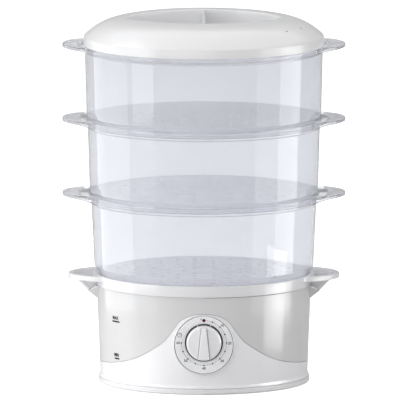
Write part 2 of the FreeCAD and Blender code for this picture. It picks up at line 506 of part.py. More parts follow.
# ------------------------------------------------------------------ baskets
for name, (zf, rf, r0, r1, zr, zt, rr) in BASKETS.items():
    t = WALL_B
    last = name == "basket_3"
    z_step = zf + (6.2 if name == "basket_1" else 7.9)    # where the foot ends and the wall begins
    z_wall = z_step + (7.6 if name == "basket_1" else 2.4)
    zfl = z_step + (0.6 if name == "basket_1" else 0.4)   # top of the floor
    prof = [(rf, zf, .5), (rf, z_step), (r0, z_wall, 2.0), (r1 - .03, zr - .9)]
    if not last:
        prof += [(rr - .3, zr, .4), (rr, zt, .9), (rr - 2.4, zt, .9), (rr - 2.4, zr + 2.1), (r1 - t, zr + 2.1, .5)]
    else:
        prof += [(rr, zr, .4), (rr, 365.6, .4), (127.2, 365.6), (127.2, zt, .9), (125.1, zt, .9), (125.1, 365.0), (r1 - t, zr)]
    prof += [(r0 - t, z_wall + .3, 2.0), (rf - t, z_step + .9), (rf - t, zfl - 2.0), (rf - t - 3.2, zfl - 2.0), (rf - t - 3.2, zfl - 3.6, .5),
             (rf - t, zfl - 3.6), (rf - t, zf, .4)]
    b = rev(prof)
    holes = []
    for k, (ring_r, count) in enumerate(FLOOR_RINGS):
        for i in range(count):
            a = 2 * math.pi * (i + .5 * (k % 2)) / count
            holes.append(cyl(FLOOR_HOLE_R, zfl - 3, zfl + 1, ring_r * math.cos(a), ring_r * math.sin(a)))
    plate = rev([(0, zfl - 2.0), (rf - t - .1, zfl - 2.0), (rf - t - .1, zfl, .5), (0, zfl)]).cut(holes)
    save(name.replace("basket", "basket_floor"), plate)
    # ears: a plate with an edge that hangs down, deeper towards the rim, and a step down to the rim
    top_z = EAR_TOP[name]
    gutter = EAR_GUTTER[name]
    e_out = Part.Face(ear_outline(EAR_TIP, EAR_ROOT, rr, rr - 12)).extrude(V(0, 0, 10.0))
    e_out.translate(V(0, 0, top_z - 10.0))
    e_in = Part.Face(ear_outline(EAR_TIP - 2.0, EAR_ROOT - 3.0, rr, rr - 12)).extrude(V(0, 0, 9.0))
    e_in.translate(V(0, 0, top_z - 11.0))
    under_rim = e_in.cut([cyl(rr - .1, top_z - 12, top_z + 5)]).common(box(100, 160, -60, 60, top_z - 12, top_z - 4.7))
    under_tip = e_in.cut([cyl(STEP_R + .6, top_z - 12, top_z + 5)])
    below = prism_y([(100, top_z - 12), (165, top_z - 12), (165, top_z - 3.5), (145, top_z - 4.0), (132, top_z - 4.9),
                     (127, top_z - 6.2), (121, top_z - 8.3), (115, top_z - 9.6), (100, top_z - 9.6)], -70, 70)
    dip = rev([(rr - .7, gutter), (STEP_R - 1.0, gutter), (STEP_R, top_z + .2), (rr - .7, top_z + .2)]).common(
        box(100, 160, -60, 60, 100, 400))
    ear = e_out.cut([under_rim, under_tip, below, cyl(rr - .6, top_z - 15, top_z + 5), dip])
    ear = max(ear.Solids, key=lambda q: q.Volume)
    b = fuse(b, ear, mirror_x(ear))
    save(name, b)

# ---------------------------------------------------------------------- lid
outer = rev([(p[0], p[1]) for p in LID_PROFILE] + [(0, 366.0)])
t = LID_T
inner_prof = [(130.0 - t, 365.0), (130.0 - t, 368.6), (125.4, 368.6), (125.2, 375.2), (122.4, 378.7), (116.9, 382.9),
              (111.9, 386.4), (108.0, 388.1), (99.3, 391.1), (90.0, 392.4), (75.0, 393.4), (55.0, 394.2),
              (30.0, 394.7), (0.0, 394.8), (0, 365.0)]
cavity = rev(inner_prof)
a, b_ = WELL_HALF_X, WELL_HALF_Y


def lens(half_x, half_y, z0, z1, corner=0):
    p = [V(-half_x, 0, z0), V(0, -half_y, z0), V(half_x, 0, z0), V(0, half_y, z0)]
    w = Part.Wire([Part.Arc(p[0], p[1], p[2]).toShape(), Part.Arc(p[2], p[3], p[0]).toShape()])
    return Part.Face(w).extrude(V(0, 0, z1 - z0))


pocket = lens(a, b_, WELL_FLOOR, 400).cut([box(-RIDGE_HALF, RIDGE_HALF, -80, 80, 370, 401)])
under = lens(a + t, b_ + t, WELL_FLOOR - t, 400)
dome = rev([(0, 370.0), (124.0, 370.0)] + [(p[0], p[1]) for p in LID_PROFILE[3:]])
under = under.common(dome)
lid = outer.cut([cavity]).fuse([under])
lid = lid.cut([pocket])
vents = []
for az in (-37.0, -20.5, -4.0, 12.5, 29.0):
    s = prism_z([(-2.6, -1.4, 1.35), (2.6, -1.4, 1.35), (2.6, 1.4, 1.35), (-2.6, 1.4, 1.35)], 380, 400)
    s = turned(s, 90)
    s.translate(V(111.0, 0, 0))
    vents.append(turned(s, az))
lid = lid.cut(vents)
save("lid", lid)
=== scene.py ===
import bpy
import bmesh
import math
import numpy as np
from mathutils import Vector, Matrix


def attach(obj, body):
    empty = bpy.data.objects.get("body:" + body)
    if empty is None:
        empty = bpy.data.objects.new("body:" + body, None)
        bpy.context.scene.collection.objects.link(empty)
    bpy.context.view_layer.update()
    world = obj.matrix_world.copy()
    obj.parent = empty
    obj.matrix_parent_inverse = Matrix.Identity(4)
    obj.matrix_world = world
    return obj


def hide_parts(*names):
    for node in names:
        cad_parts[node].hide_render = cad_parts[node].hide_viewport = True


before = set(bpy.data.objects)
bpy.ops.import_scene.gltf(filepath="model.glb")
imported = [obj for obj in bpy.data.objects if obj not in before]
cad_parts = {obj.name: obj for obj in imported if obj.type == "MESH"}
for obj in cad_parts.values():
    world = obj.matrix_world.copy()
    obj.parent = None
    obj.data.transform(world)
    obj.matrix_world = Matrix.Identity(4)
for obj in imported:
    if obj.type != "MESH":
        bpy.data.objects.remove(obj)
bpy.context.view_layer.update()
MM = 0.001
SCENE = bpy.context.scene


# =================================================================== helpers
def link(obj):
    SCENE.collection.objects.link(obj)
    return obj


def make_mesh(name, verts, faces, weld=1e-7):
    me = bpy.data.meshes.new(name)
    me.from_pydata([(v[0] * MM, v[1] * MM, v[2] * MM) for v in verts], [], faces)
    bm = bmesh.new()
    bm.from_mesh(me)
    bmesh.ops.remove_doubles(bm, verts=bm.verts, dist=weld)
    bmesh.ops.dissolve_degenerate(bm, edges=bm.edges, dist=1e-8)
    bmesh.ops.recalc_face_normals(bm, faces=bm.faces)
    bm.to_mesh(me)
    bm.free()
    return link(bpy.data.objects.new(name, me))


def smooth(obj, angle=28.0):
    me = obj.data
    me.polygons.foreach_set("use_smooth", [True] * len(me.polygons))
    me.set_sharp_from_angle(angle=math.radians(angle))
    me.update()
    return obj


def rounded(pts, seg=4, closed=True):
    """(u, v[, radius]) corners -> smooth (u, v) list."""
    n = len(pts)
    out = []
    for i in range(n):
        p = pts[i]
        f = p[2] if len(p) > 2 else 0
        if f <= 0 or (not closed and i in (0, n - 1)):
            out.append((p[0], p[1]))
            continue
        a, b, c = Vector(pts[i - 1][:2]), Vector(p[:2]), Vector(pts[(i + 1) % n][:2])
        u, w = (a - b), (c - b)
        lu, lw = u.length, w.length
        u.normalize(), w.normalize()
        ang = math.acos(max(-1, min(1, u.dot(w))))
        d = min(f / math.tan(ang / 2), lu * .48, lw * .48)
        r = d * math.tan(ang / 2)
        s, e = b + u * d, b + w * d
        ctr = b + (u + w).normalized() * (r / math.sin(ang / 2))
        a0 = math.atan2(s.y - ctr.y, s.x - ctr.x)
        a1 = math.atan2(e.y - ctr.y, e.x - ctr.x)
        da = (a1 - a0 + math.pi) % (2 * math.pi) - math.pi
        for k in range(seg + 1):
            t = a0 + da * k / seg
            out.append((ctr.x + r * math.cos(t), ctr.y + r * math.sin(t)))
    return out


def densify(pts, step, closed=True):
    out = []
    n = len(pts)
    for i in range(n if closed else n - 1):
        a, b = pts[i], pts[(i + 1) % n]
        k = max(1, int(math.ceil(math.dist(a, b) / step)))
        for j in range(k):
            t = j / k
            out.append(tuple(a[q] + (b[q] - a[q]) * t for q in range(len(a))))
    if not closed:
        out.append(tuple(pts[-1]))
    return out


def spline(pts, n, t0=None, t1=None, even=True):
    """Smooth curve through points (2nd derivative continuous), n points along it."""
    P = np.array(pts, float)
    h = np.linalg.norm(np.diff(P, axis=0), axis=1)
    s = np.concatenate([[0.0], np.cumsum(h)])
    k = len(P)
    A, B = np.zeros((k, k)), np.zeros((k, P.shape[1]))
    for i in range(1, k - 1):
        A[i, i - 1], A[i, i], A[i, i + 1] = h[i - 1], 2 * (h[i - 1] + h[i]), h[i]
        B[i] = 6 * ((P[i + 1] - P[i]) / h[i] - (P[i] - P[i - 1]) / h[i - 1])
    A[0, 0] = A[-1, -1] = 1.0
    if t0 is not None:
        A[0, 0], A[0, 1] = 2 * h[0], h[0]
        B[0] = 6 * ((P[1] - P[0]) / h[0] - np.array(t0, float))
    if t1 is not None:
        A[-1, -1], A[-1, -2] = 2 * h[-1], h[-1]
        B[-1] = 6 * (np.array(t1, float) - (P[-1] - P[-2]) / h[-1])
    M = np.linalg.solve(A, B)
    q = np.linspace(0, s[-1], max(n * 8, 400))
    i = np.clip(np.searchsorted(s, q, side="right") - 1, 0, k - 2)
    hh = h[i][:, None]
    a, b = (s[i + 1] - q)[:, None], (q - s[i])[:, None]
    C = (M[i] * a ** 3 + M[i + 1] * b ** 3) / (6 * hh) + (P[i] / hh - M[i] * hh / 6) * a + (P[i + 1] / hh - M[i + 1] * hh / 6) * b
    if not even:
        return C
    d = np.concatenate([[0.0], np.cumsum(np.linalg.norm(np.diff(C, axis=0), axis=1))])
    t = np.linspace(0, d[-1], n)
    return np.stack([np.interp(t, d, C[:, c]) for c in range(C.shape[1])], axis=1)


def loft(name, secs, wrap=False, caps=True, weld=1e-7):
    """Closed sections (equal lists of points) joined in order."""
    n, m = len(secs), len(secs[0])
    verts = [tuple(p) for s in secs for p in s]
    faces = []
    for i in range(n if wrap else n - 1):
        a, b = i * m, ((i + 1) % n) * m
        for k in range(m):
            l = (k + 1) % m
            faces.append((a + k, b + k, b + l, a + l))
    if caps and not wrap:
        faces += [tuple(range(m))[::-1], tuple(range((n - 1) * m, n * m))]
    return make_mesh(name, verts, faces, weld)


def revolve(name, prof, n=256, axis="z", at=(0, 0, 0), a0=0.0):
    """Closed (r, h) loop turned about an axis; open where it meets the axis."""
    secs = []
    for i in range(n):
        a = a0 + 2 * math.pi * i / n
        c, s = math.cos(a), math.sin(a)
        if axis == "z":
            secs.append([(at[0] + r * c, at[1] + r * s, at[2] + h) for r, h in prof])
        else:      # about a line along Y, h is the y value
            secs.append([(at[0] + r * c, at[1] + h, at[2] + r * s) for r, h in prof])
    m = len(prof)
    verts = [p for s in secs for p in s]
    faces = []
    for i in range(n):
        j = (i + 1) % n
        for k in range(m):
            l = (k + 1) % m
            zk, zl = abs(prof[k][0]) < 1e-6, abs(prof[l][0]) < 1e-6
            if zk and zl:
                continue
            if zk:
                faces.append((i * m + k, j * m + l, i * m + l))
            elif zl:
                faces.append((i * m + k, j * m + k, i * m + l))
            else:
                faces.append((i * m + k, j * m + k, j * m + l, i * m + l))
    return make_mesh(name, verts, faces)


def prism(name, pts, lo, hi, axis="z"):
    """Closed outline extruded between two levels."""
    n = len(pts)
    if axis == "z":
        V = [(x, y, lo) for x, y in pts] + [(x, y, hi) for x, y in pts]
    else:
        V = [(x, lo, z) for x, z in pts] + [(x, hi, z) for x, z in pts]
    F = [tuple(range(n))[::-1], tuple(range(n, 2 * n))]
    F += [(i, (i + 1) % n, n + (i + 1) % n, n + i) for i in range(n)]
    return make_mesh(name, V, F)


def cyl(name, r, lo, hi, x=0, y=0, z=0, axis="z", n=32):
    if axis == "z":
        pts = [(x + r * math.cos(2 * math.pi * k / n), y + r * math.sin(2 * math.pi * k / n)) for k in range(n)]
    else:
        pts = [(x + r * math.cos(2 * math.pi * k / n), z + r * math.sin(2 * math.pi * k / n)) for k in range(n)]
    return prism(name, pts, lo, hi, axis)


def join(name, objs):
    bm = bmesh.new()
    for o in objs:
        bm.from_mesh(o.data)
    me = bpy.data.meshes.new(name)
    bm.to_mesh(me)
    bm.free()
    for o in objs:
        bpy.data.objects.remove(o)
    return link(bpy.data.objects.new(name, me))


def boolean(obj, tool, op="DIFFERENCE"):
    mod = obj.modifiers.new("cut", "BOOLEAN")
    mod.operation = op
    mod.solver = "EXACT"
    mod.object = tool
    dg = bpy.context.evaluated_depsgraph_get()
    dg.update()
    me = bpy.data.meshes.new_from_object(obj.evaluated_get(dg))
    obj.modifiers.clear()
    old = obj.data
    obj.data = me
    bpy.data.meshes.remove(old)
    bpy.data.objects.remove(tool)
    me.materials.clear()
    return obj


def union(obj, *tools):
    for t in tools:
        boolean(obj, t, "UNION")
    return obj


def bevelled(obj, width, seg=2, angle=30):
    """Rounds the sharp edges of a plain closed piece."""
    mod = obj.modifiers.new("round", "BEVEL")
    mod.width = width * MM
    mod.segments = seg
    mod.limit_method = "ANGLE"
    mod.angle_limit = math.radians(angle)
    mod.use_clamp_overlap = True
    dg = bpy.context.evaluated_depsgraph_get()
    dg.update()
    me = bpy.data.meshes.new_from_object(obj.evaluated_get(dg))
    obj.modifiers.clear()
    old = obj.data
    obj.data = me
    bpy.data.meshes.remove(old)
    return obj


def turn_z(obj, deg):
    obj.data.transform(Matrix.Rotation(math.radians(deg), 4, "Z"))
    return obj


def mirrored_x(obj, name):
    me = obj.data.copy()
    me.transform(Matrix.Scale(-1, 4, (1, 0, 0)))
    me.flip_normals()
    return link(bpy.data.objects.new(name, me))


def set_mat(obj, mat):
    obj.data.materials.clear()
    obj.data.materials.append(mat)
    return obj


def piece(obj, body, mat, slot, *nodes, angle=28.0):
    smooth(obj, angle)
    set_mat(obj, mat)
    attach(obj, body)
    if nodes:
        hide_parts(*nodes)
    return obj


def lerp(a, b, t):
    return a + (b - a) * t


# ================================================================ dimensions
R_LOW, Z_LOW, R_TOP, Z_TOP, Z_STRAIGHT = 112.0, 10.0, 115.0, 106.1, 87.0
WALL_H = 2.5
BACK_LINE = 22.0
WAVE = [(0, 88.0), (8, 87.7), (15, 86.2), (21.5, 83.4), (27, 79.0), (31.2, 73.2),
        (36.0, 66.2), (42.5, 58.2), (49.3, 52.4), (57.5, 46.6), (69.0, 39.2),
        (77.4, 34.9), (87.3, 31.0), (97.0, 28.0), (106.0, 25.4), (115.6, BACK_LINE)]
PLATE_Z, DIAL_Z, DIAL_R, BOSS_R, BOSS_Y, PLATE_Y, PLATE_BACK = 55.0, 57.4, 31.3, 32.7, -116.8, -117.0, -114.4
KNOB_R, KNOB_BACK, KNOB_FACE, KNOB_TOP, WELL_R = 18.9, -115.0, -124.4, -129.6, 20.5
COLLAR_R, COLLAR_IN, COLLAR_LO, COLLAR_HI = 116.6, 114.9, 106.25, 118.3
TRAY_TIP, TRAY_ROOT = 146.5, 45.0
BASKETS = {
    "basket_1": (112.2, 114.5, 118.3, 121.5, 195.6, 205.6, 124.7),
    "basket_2": (197.9, 122.0, 123.3, 125.3, 277.5, 287.3, 128.0),
    "basket_3": (279.9, 125.2, 126.7, 128.4, 359.5, 368.4, 129.3),
}
EAR_TIP, EAR_ROOT, WALL_B = 152.8, 48.0, 2.0


def wall_r(z):
    if z >= Z_STRAIGHT:
        return R_TOP
    return R_LOW + (R_TOP - R_LOW) * (z - Z_LOW) / (Z_STRAIGHT - Z_LOW)


def ear_outline(tip, root_half, rim_r, n, sink=0.0):
    """One side ear seen from above: leaves the rim at a tangent, S-curved sides, round tip."""
    rx = math.sqrt(rim_r ** 2 - root_half ** 2)
    k = tip - rx
    pts = [(rx - sink, -root_half), (rx + 0.17 * k, -root_half * .915), (rx + .62 * k, -root_half * .69),
           (rx + .92 * k, -root_half * .34), (tip, 0)]
    pts += [(x, -y) for x, y in reversed(pts[:-1])]
    t = (root_half / rim_r, rx / rim_r)
    return spline(pts, n, t, (-t[0], t[1]))


# ================================================================= materials
def noise_node(nt, vec, scale, detail=3):
    n = nt.nodes.new("ShaderNodeTexNoise")
    n.inputs["Scale"].default_value = scale
    n.inputs["Detail"].default_value = detail
    nt.links.new(vec, n.inputs["Vector"])
    return n.outputs["Fac"]


def spread(nt, fac, lo, hi, a=0.3, b=0.7):
    mr = nt.nodes.new("ShaderNodeMapRange")
    mr.inputs["From Min"].default_value = a
    mr.inputs["From Max"].default_value = b
    mr.inputs["To Min"].default_value = lo
    mr.inputs["To Max"].default_value = hi
    nt.links.new(fac, mr.inputs["Value"])
    return mr.outputs[0]


def material(name, color, rough, metallic=0.0, noise_scale=60.0, vary=0.02, rough_vary=0.05,
             bump=0.02, bump_scale=400.0, wave=0.0, wave_scale=14.0, scuff=0.0, stretch=(1, 1, 1), **sockets):
    """Principled material whose colour, roughness and relief come from object-space noise.
    wave: slow undulation of a moulded wall. scuff: fine rubbed streaks in the gloss."""
    m = bpy.data.materials.new(name)
    m.use_nodes = True
    nt = m.node_tree
    nt.nodes.clear()
    out = nt.nodes.new("ShaderNodeOutputMaterial")
    b = nt.nodes.new("ShaderNodeBsdfPrincipled")
    nt.links.new(b.outputs[0], out.inputs["Surface"])
    tc = nt.nodes.new("ShaderNodeTexCoord")
    mp = nt.nodes.new("ShaderNodeMapping")
    mp.inputs["Scale"].default_value = stretch
    nt.links.new(tc.outputs["Object"], mp.inputs["Vector"])
    n1 = noise_node(nt, mp.outputs[0], noise_scale)
    ramp = nt.nodes.new("ShaderNodeValToRGB")
    ramp.color_ramp.elements[0].position = 0.3
    ramp.color_ramp.elements[1].position = 0.7
    ramp.color_ramp.elements[0].color = [max(0, c * (1 - vary)) for c in color[:3]] + [1]
    ramp.color_ramp.elements[1].color = [min(1, c * (1 + vary)) for c in color[:3]] + [1]
    nt.links.new(n1, ramp.inputs["Fac"])
    nt.links.new(ramp.outputs["Color"], b.inputs["Base Color"])
    rgh = spread(nt, n1, max(0.0, rough - rough_vary), min(1.0, rough + rough_vary))
    if scuff > 0:
        mp2 = nt.nodes.new("ShaderNodeMapping")
        mp2.inputs["Scale"].default_value = (1, 1, 26)
        mp2.inputs["Rotation"].default_value = (0.35, 0.2, 0.5)
        nt.links.new(tc.outputs["Object"], mp2.inputs["Vector"])
        streak = spread(nt, noise_node(nt, mp2.outputs[0], 55.0, 5), 0.0, scuff, 0.58, 0.8)
        add = nt.nodes.new("ShaderNodeMath")
        add.operation = "ADD"
        nt.links.new(rgh, add.inputs[0])
        nt.links.new(streak, add.inputs[1])
        rgh = add.outputs[0]
    nt.links.new(rgh, b.inputs["Roughness"])
    b.inputs["Metallic"].default_value = metallic
    last = None
    for strength, scale, dist in ((wave, wave_scale, 0.002), (bump, bump_scale, 0.0005)):
        if strength <= 0:
            continue
        bp = nt.nodes.new("ShaderNodeBump")
        bp.inputs["Strength"].default_value = strength
        bp.inputs["Distance"].default_value = dist
        nt.links.new(noise_node(nt, mp.outputs[0], scale, 2), bp.inputs["Height"])
        if last is not None:
            nt.links.new(last, bp.inputs["Normal"])
        last = bp.outputs[0]
    if last is not None:
        nt.links.new(last, b.inputs["Normal"])
    for k, v in sockets.items():
        b.inputs[k.replace("_", " ")].default_value = v
    return m


def clear_material(name, tint, rough, ior, through):
    """Clear moulded plastic: bends light, swallows a little of it, and lets lamps shine through."""
    m = material(name, tint, rough, noise_scale=45, vary=0.006, rough_vary=0.012, bump=0.0,
                 wave=0.04, wave_scale=16, IOR=ior, Transmission_Weight=through)
    nt = m.node_tree
    out = next(n for n in nt.nodes if n.type == "OUTPUT_MATERIAL")
    b = next(n for n in nt.nodes if n.type == "BSDF_PRINCIPLED")
    mix = nt.nodes.new("ShaderNodeMixShader")
    tr = nt.nodes.new("ShaderNodeBsdfTransparent")
    lp = nt.nodes.new("ShaderNodeLightPath")
    tr.inputs["Color"].default_value = (0.93, 0.93, 0.945, 1)
    nt.links.new(lp.outputs["Is Shadow Ray"], mix.inputs[0])
    nt.links.new(b.outputs[0], mix.inputs[1])
    nt.links.new(tr.outputs[0], mix.inputs[2])
    nt.links.new(mix.outputs[0], out.inputs["Surface"])
    return m


WHITE = material("white_plastic", (0.80, 0.80, 0.815), 0.17, noise_scale=35, vary=0.008, rough_vary=0.025,
                 bump=0.015, bump_scale=240, wave=0.02, wave_scale=16, scuff=0.07, IOR=1.5)
# painted shade: the tray is the housing's white plastic made darker, to offset the stronger light its collar gets from
# above
TRAY_WHITE_PAINTED_SHADE = material("tray_plastic_painted_shade", (0.70, 0.70, 0.715), 0.18, noise_scale=35, vary=0.008, rough_vary=0.025,
                 bump=0.015, bump_scale=240, wave=0.02, wave_scale=16, scuff=0.07, IOR=1.5)
# painted shade: the lid is the housing's white plastic made darker, to offset how the lamps light its top
LID_WHITE_PAINTED_SHADE = material("lid_plastic_painted_shade", (0.745, 0.745, 0.755), 0.20, noise_scale=30, vary=0.008, rough_vary=0.025,
                bump=0.015, bump_scale=240, wave=0.02, wave_scale=14, scuff=0.06, IOR=1.5)
TANK = material("tank_plastic", (0.60, 0.60, 0.607), 0.17, noise_scale=28, vary=0.015, rough_vary=0.025,
                bump=0.015, bump_scale=240, wave=0.02, wave_scale=14, scuff=0.06, IOR=1.5)
FOOTW = material("foot_plastic", (0.74, 0.74, 0.75), 0.3, noise_scale=40, vary=0.012, rough_vary=0.04,
                 bump=0.03, bump_scale=300, scuff=0.1, IOR=1.5)
CLEAR = clear_material("clear_plastic", (0.775, 0.783, 0.815), 0.05, 1.36, 0.88)
# painted shade: a dark clear plastic for the ears' hanging edges, standing for the dark outline refraction gives them
CLEAR_EDGE_PAINTED_SHADE = clear_material("clear_edge_painted_shade", (0.42, 0.42, 0.45), 0.12, 1.30, 0.55)
CLEAR_EAR = clear_material("clear_ear", (0.86, 0.863, 0.885), 0.09, 1.30, 0.52)
CLEAR_FLOOR = clear_material("clear_floor", (0.86, 0.863, 0.885), 0.10, 1.30, 0.55)
DIAL = material("dial_plastic", (0.80, 0.80, 0.81), 0.28, noise_scale=60, vary=0.01, rough_vary=0.04,
                bump=0.03, bump_scale=900)
KNOBM = material("knob_plastic", (0.78, 0.78, 0.79), 0.20, noise_scale=60, vary=0.01, rough_vary=0.03,
                 bump=0.02, bump_scale=300, scuff=0.05)
INK = material("print_ink", (0.008, 0.008, 0.009), 0.5, noise_scale=900, vary=0.4, rough_vary=0.1, bump=0, IOR=1.2)
INK_RED = material("print_ink_red", (0.11, 0.001, 0.004), 0.45, noise_scale=900, vary=0.2, rough_vary=0.1, bump=0, IOR=1.2)
INK_GREY = material("print_ink_grey", (0.10, 0.10, 0.11), 0.45, noise_scale=900, vary=0.2, rough_vary=0.1, bump=0)
STEEL = material("bright_steel", (0.58, 0.58, 0.59), 0.28, metallic=1.0, noise_scale=300, vary=0.05,
                 rough_vary=0.08, bump=0.05, bump_scale=900, stretch=(1, 1, 8))
ZINC = material("zinc_plate", (0.60, 0.61, 0.59), 0.38, metallic=1.0, noise_scale=90, vary=0.12, rough_vary=0.1,
                bump=0.03, bump_scale=300)
BRASS = material("turned_brass", (0.66, 0.46, 0.17), 0.3, metallic=1.0, noise_scale=500, vary=0.08,
                 rough_vary=0.08, bump=0.04, bump_scale=1500)
ALU = material("cast_aluminium", (0.55, 0.55, 0.56), 0.42, metallic=1.0, noise_scale=120, vary=0.1, rough_vary=0.1,
               bump=0.12, bump_scale=700)
SHEATH = material("heated_steel", (0.30, 0.26, 0.23), 0.35, metallic=1.0, noise_scale=70, vary=0.35,
                  rough_vary=0.1, bump=0.05, bump_scale=400)
RUBBER = material("foot_rubber", (0.03, 0.03, 0.031), 0.75, noise_scale=200, vary=0.25, rough_vary=0.1,
                  bump=0.2, bump_scale=900)
GLAND = material("gland_rubber", (0.62, 0.62, 0.63), 0.6, noise_scale=200, vary=0.05, rough_vary=0.08,
                 bump=0.1, bump_scale=900)
SILICONE = material("silicone", (0.60, 0.58, 0.53), 0.45, noise_scale=150, vary=0.06, rough_vary=0.08,
                    bump=0.05, bump_scale=500, Subsurface_Weight=0.2)
BLACK = material("black_plastic", (0.035, 0.035, 0.037), 0.5, noise_scale=250, vary=0.2, rough_vary=0.08,
                 bump=0.15, bump_scale=1400)
ACETAL = material("acetal", (0.72, 0.69, 0.60), 0.35, noise_scale=150, vary=0.03, rough_vary=0.05,
                  bump=0.03, bump_scale=500)
CERAMIC = material("ceramic_sleeve", (0.70, 0.68, 0.62), 0.55, noise_scale=300, vary=0.08, rough_vary=0.1,
                   bump=0.1, bump_scale=900)
CREAM = material("terminal_plastic", (0.74, 0.72, 0.65), 0.42, noise_scale=150, vary=0.04, rough_vary=0.06,
                 bump=0.06, bump_scale=900)
WIRE = material("wire_silicone", (0.66, 0.65, 0.60), 0.5, noise_scale=200, vary=0.08, rough_vary=0.08,
                bump=0.05, bump_scale=900)

NODE_MAT = {
    "lid": LID_WHITE_PAINTED_SHADE, "basket_1": CLEAR, "basket_2": CLEAR, "basket_3": CLEAR,
    "basket_floor_1": CLEAR_FLOOR, "basket_floor_2": CLEAR_FLOOR, "basket_floor_3": CLEAR_FLOOR, "drip_tray": WHITE,
    "steam_ring": WHITE, "tank_shell": TANK, "fill_spout_left": TANK, "fill_spout_right": TANK,
    "lower_housing": WHITE, "bottom_cover": FOOTW,
    "rubber_feet": RUBBER, "cover_screws": STEEL, "cord_gland": GLAND, "dial_plate": DIAL, "timer_knob": KNOBM,
    "timer_shaft": STEEL, "timer_case": BLACK, "timer_back_plate": ZINC, "timer_bracket": ZINC,
    "timer_bush": BRASS, "timer_screws": STEEL, "timer_drive_gear": ACETAL, "timer_pinion": BRASS,
    "pinion_arbor": STEEL, "timer_bell": STEEL, "bell_screw": STEEL, "bell_striker": ZINC,
    "heater_body": ALU, "heater_seal": SILICONE, "heating_element": SHEATH, "heater_clamp": ZINC,
    "heater_screws": STEEL, "thermostat": BLACK, "thermal_fuse": CERAMIC, "terminal_block": CREAM,
    "inner_wires": WIRE,
}
for node, mat in NODE_MAT.items():
    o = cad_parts[node]
    set_mat(o, mat)
    smooth(o, 30)


# ================================================================ lid
def turned_loft(name, fn, n):
    """fn(angle) gives the same number of (r, z) points each time; the loop is closed.
    Points on the axis must be on it at every angle."""
    prof = [fn(2 * math.pi * i / n) for i in range(n)]
    m = len(prof[0])
    verts, faces = [], []
    for i in range(n):
        a = 2 * math.pi * i / n
        verts += [(r * math.cos(a), r * math.sin(a), z) for r, z in prof[i]]
    for i in range(n):
        j = (i + 1) % n
        for k in range(m):
            l = (k + 1) % m
            zk, zl = abs(prof[i][k][0]) < 1e-6, abs(prof[i][l][0]) < 1e-6
            if zk and zl:
                continue
            if zk:
                faces.append((i * m + k, j * m + l, i * m + l))
            elif zl:
                faces.append((i * m + k, j * m + k, i * m + l))
            else:
                faces.append((i * m + k, j * m + k, j * m + l, i * m + l))
    return make_mesh(name, verts, faces)


LID_TOP = spline([(0, 397.0), (30, 396.9), (55, 396.4), (75, 395.55), (90, 394.3), (99.8, 392.6), (107.0, 390.35), (113.0, 387.6),
                  (118.4, 384.35), (123.4, 380.75), (127.3, 377.6)], 90, (1, 0))
LENS_R, LENS_C = 90.56, 32.56          # the recess is bounded by two arcs of this radius


def lid_z(r):
    return float(np.interp(r, LID_TOP[:, 0], LID_TOP[:, 1]))


def lens_r(a):
    s = math.sqrt(math.sin(a) ** 2 + 0.004) - 0.02
    c2 = math.cos(a) ** 2
    return -LENS_C * s + math.sqrt(LENS_R ** 2 - LENS_C ** 2 * c2)


POCKET = [(2.4, 1.0), (1.8, .998), (1.2, .99), (.75, .975), (.42, .95), (.15, .91), (-.05, .85), (-.22, .76), (-.4, .64),
          (-.6, .51), (-.8, .38), (-1.02, .26), (-1.3, .16), (-1.75, .085), (-2.5, .035), (-3.6, .008), (-4.8, 0.0)]
WELL_FLOOR = 377.2
LID_SKIRT = [tuple(q) for q in LID_TOP[LID_TOP[:, 0] > 107.5]] + rounded([(127.4, 377.5), (129.35, 375.75, 2.2), (129.75, 371.5, 3.0), (130.0, 366.0, .6), (127.8, 366.0, .4), (127.8, 368.6, .3), (125.4, 368.6, .5),
                     (125.2, 375.2, 3.0), (122.4, 378.7, 3.0), (116.9, 382.9, 8), (111.9, 386.4, 5.0), (108.0, 388.1, 6.0),
                     (104.0, 389.5)], 5, closed=False)


def lid_floor(r, rb):
    return WELL_FLOOR + 0.9 * (r / rb) ** 2


def lid_section(a):
    rb = lens_r(a)
    top = []
    rf = rb - 4.8
    for f in (0.0, .12, .25, .4, .55, .7, .82, .92, .98):
        top.append((rf * f, lid_floor(rf * f, rf)))
    zf = lid_floor(rf, rf)
    for d, h in reversed(POCKET):
        r = rb + d
        top.append((r, zf + h * (lid_z(r) - zf)))
    r0 = rb + 2.4
    for f in (.15, .32, .5, .68, .84, 1.0):
        r = lerp(r0, 106.4, f)
        top.append((r, lid_z(r)))
    under = [(104.0, 389.5)]
    ru = rb + 4.9
    for f in (.25, .5, .75, 1.0):
        r = lerp(103.0, ru, f)
        under.append((r, lid_z(r) - 2.25))
    for d, h in POCKET[3::2][:-1]:
        r = rb + 2.2 + d
        zt = lid_z(rb) - 2.25
        under.append((r, zf - 2.2 + h * (zt - zf + 2.2)))
    for f in (.9, .7, .45, .2, 0.0):
        under.append((rf * f, lid_floor(rf * f, rf) - 2.2))
    return top + LID_SKIRT[:-1] + under


lid = turned_loft("lid_shell", lid_section, 320)

# the ridge that is gripped, across the recess from front to back
secs = []
for y in np.linspace(-59.2, 59.2, 61):
    zt = lid_z(abs(y)) - 0.22 - 0.5 * max(0.0, (abs(y) - 56.5) / 2.7)
    pr = rounded([(-3.4, 376.4), (3.4, 376.4), (2.3, 378.9, 1.5), (1.45, zt - 2.5), (1.3, zt, .9), (-1.3, zt, .9),
                  (-1.45, zt - 2.5), (-2.3, 378.9, 1.5)], 3)
    secs.append([(x, y, z) for x, z in pr])
union(lid, loft("lid_ridge", secs))
for az in (-37.0, -20.5, -4.0, 12.5, 29.0):
    slot = prism("vent", rounded([(109.6, -2.7, 1.3), (112.4, -2.7, 1.3), (112.4, 2.7, 1.3), (109.6, 2.7, 1.3)], 5), 380, 400)
    boolean(lid, turn_z(slot, az))
piece(lid, "lid", LID_WHITE_PAINTED_SHADE, "lid", "lid", angle=32)


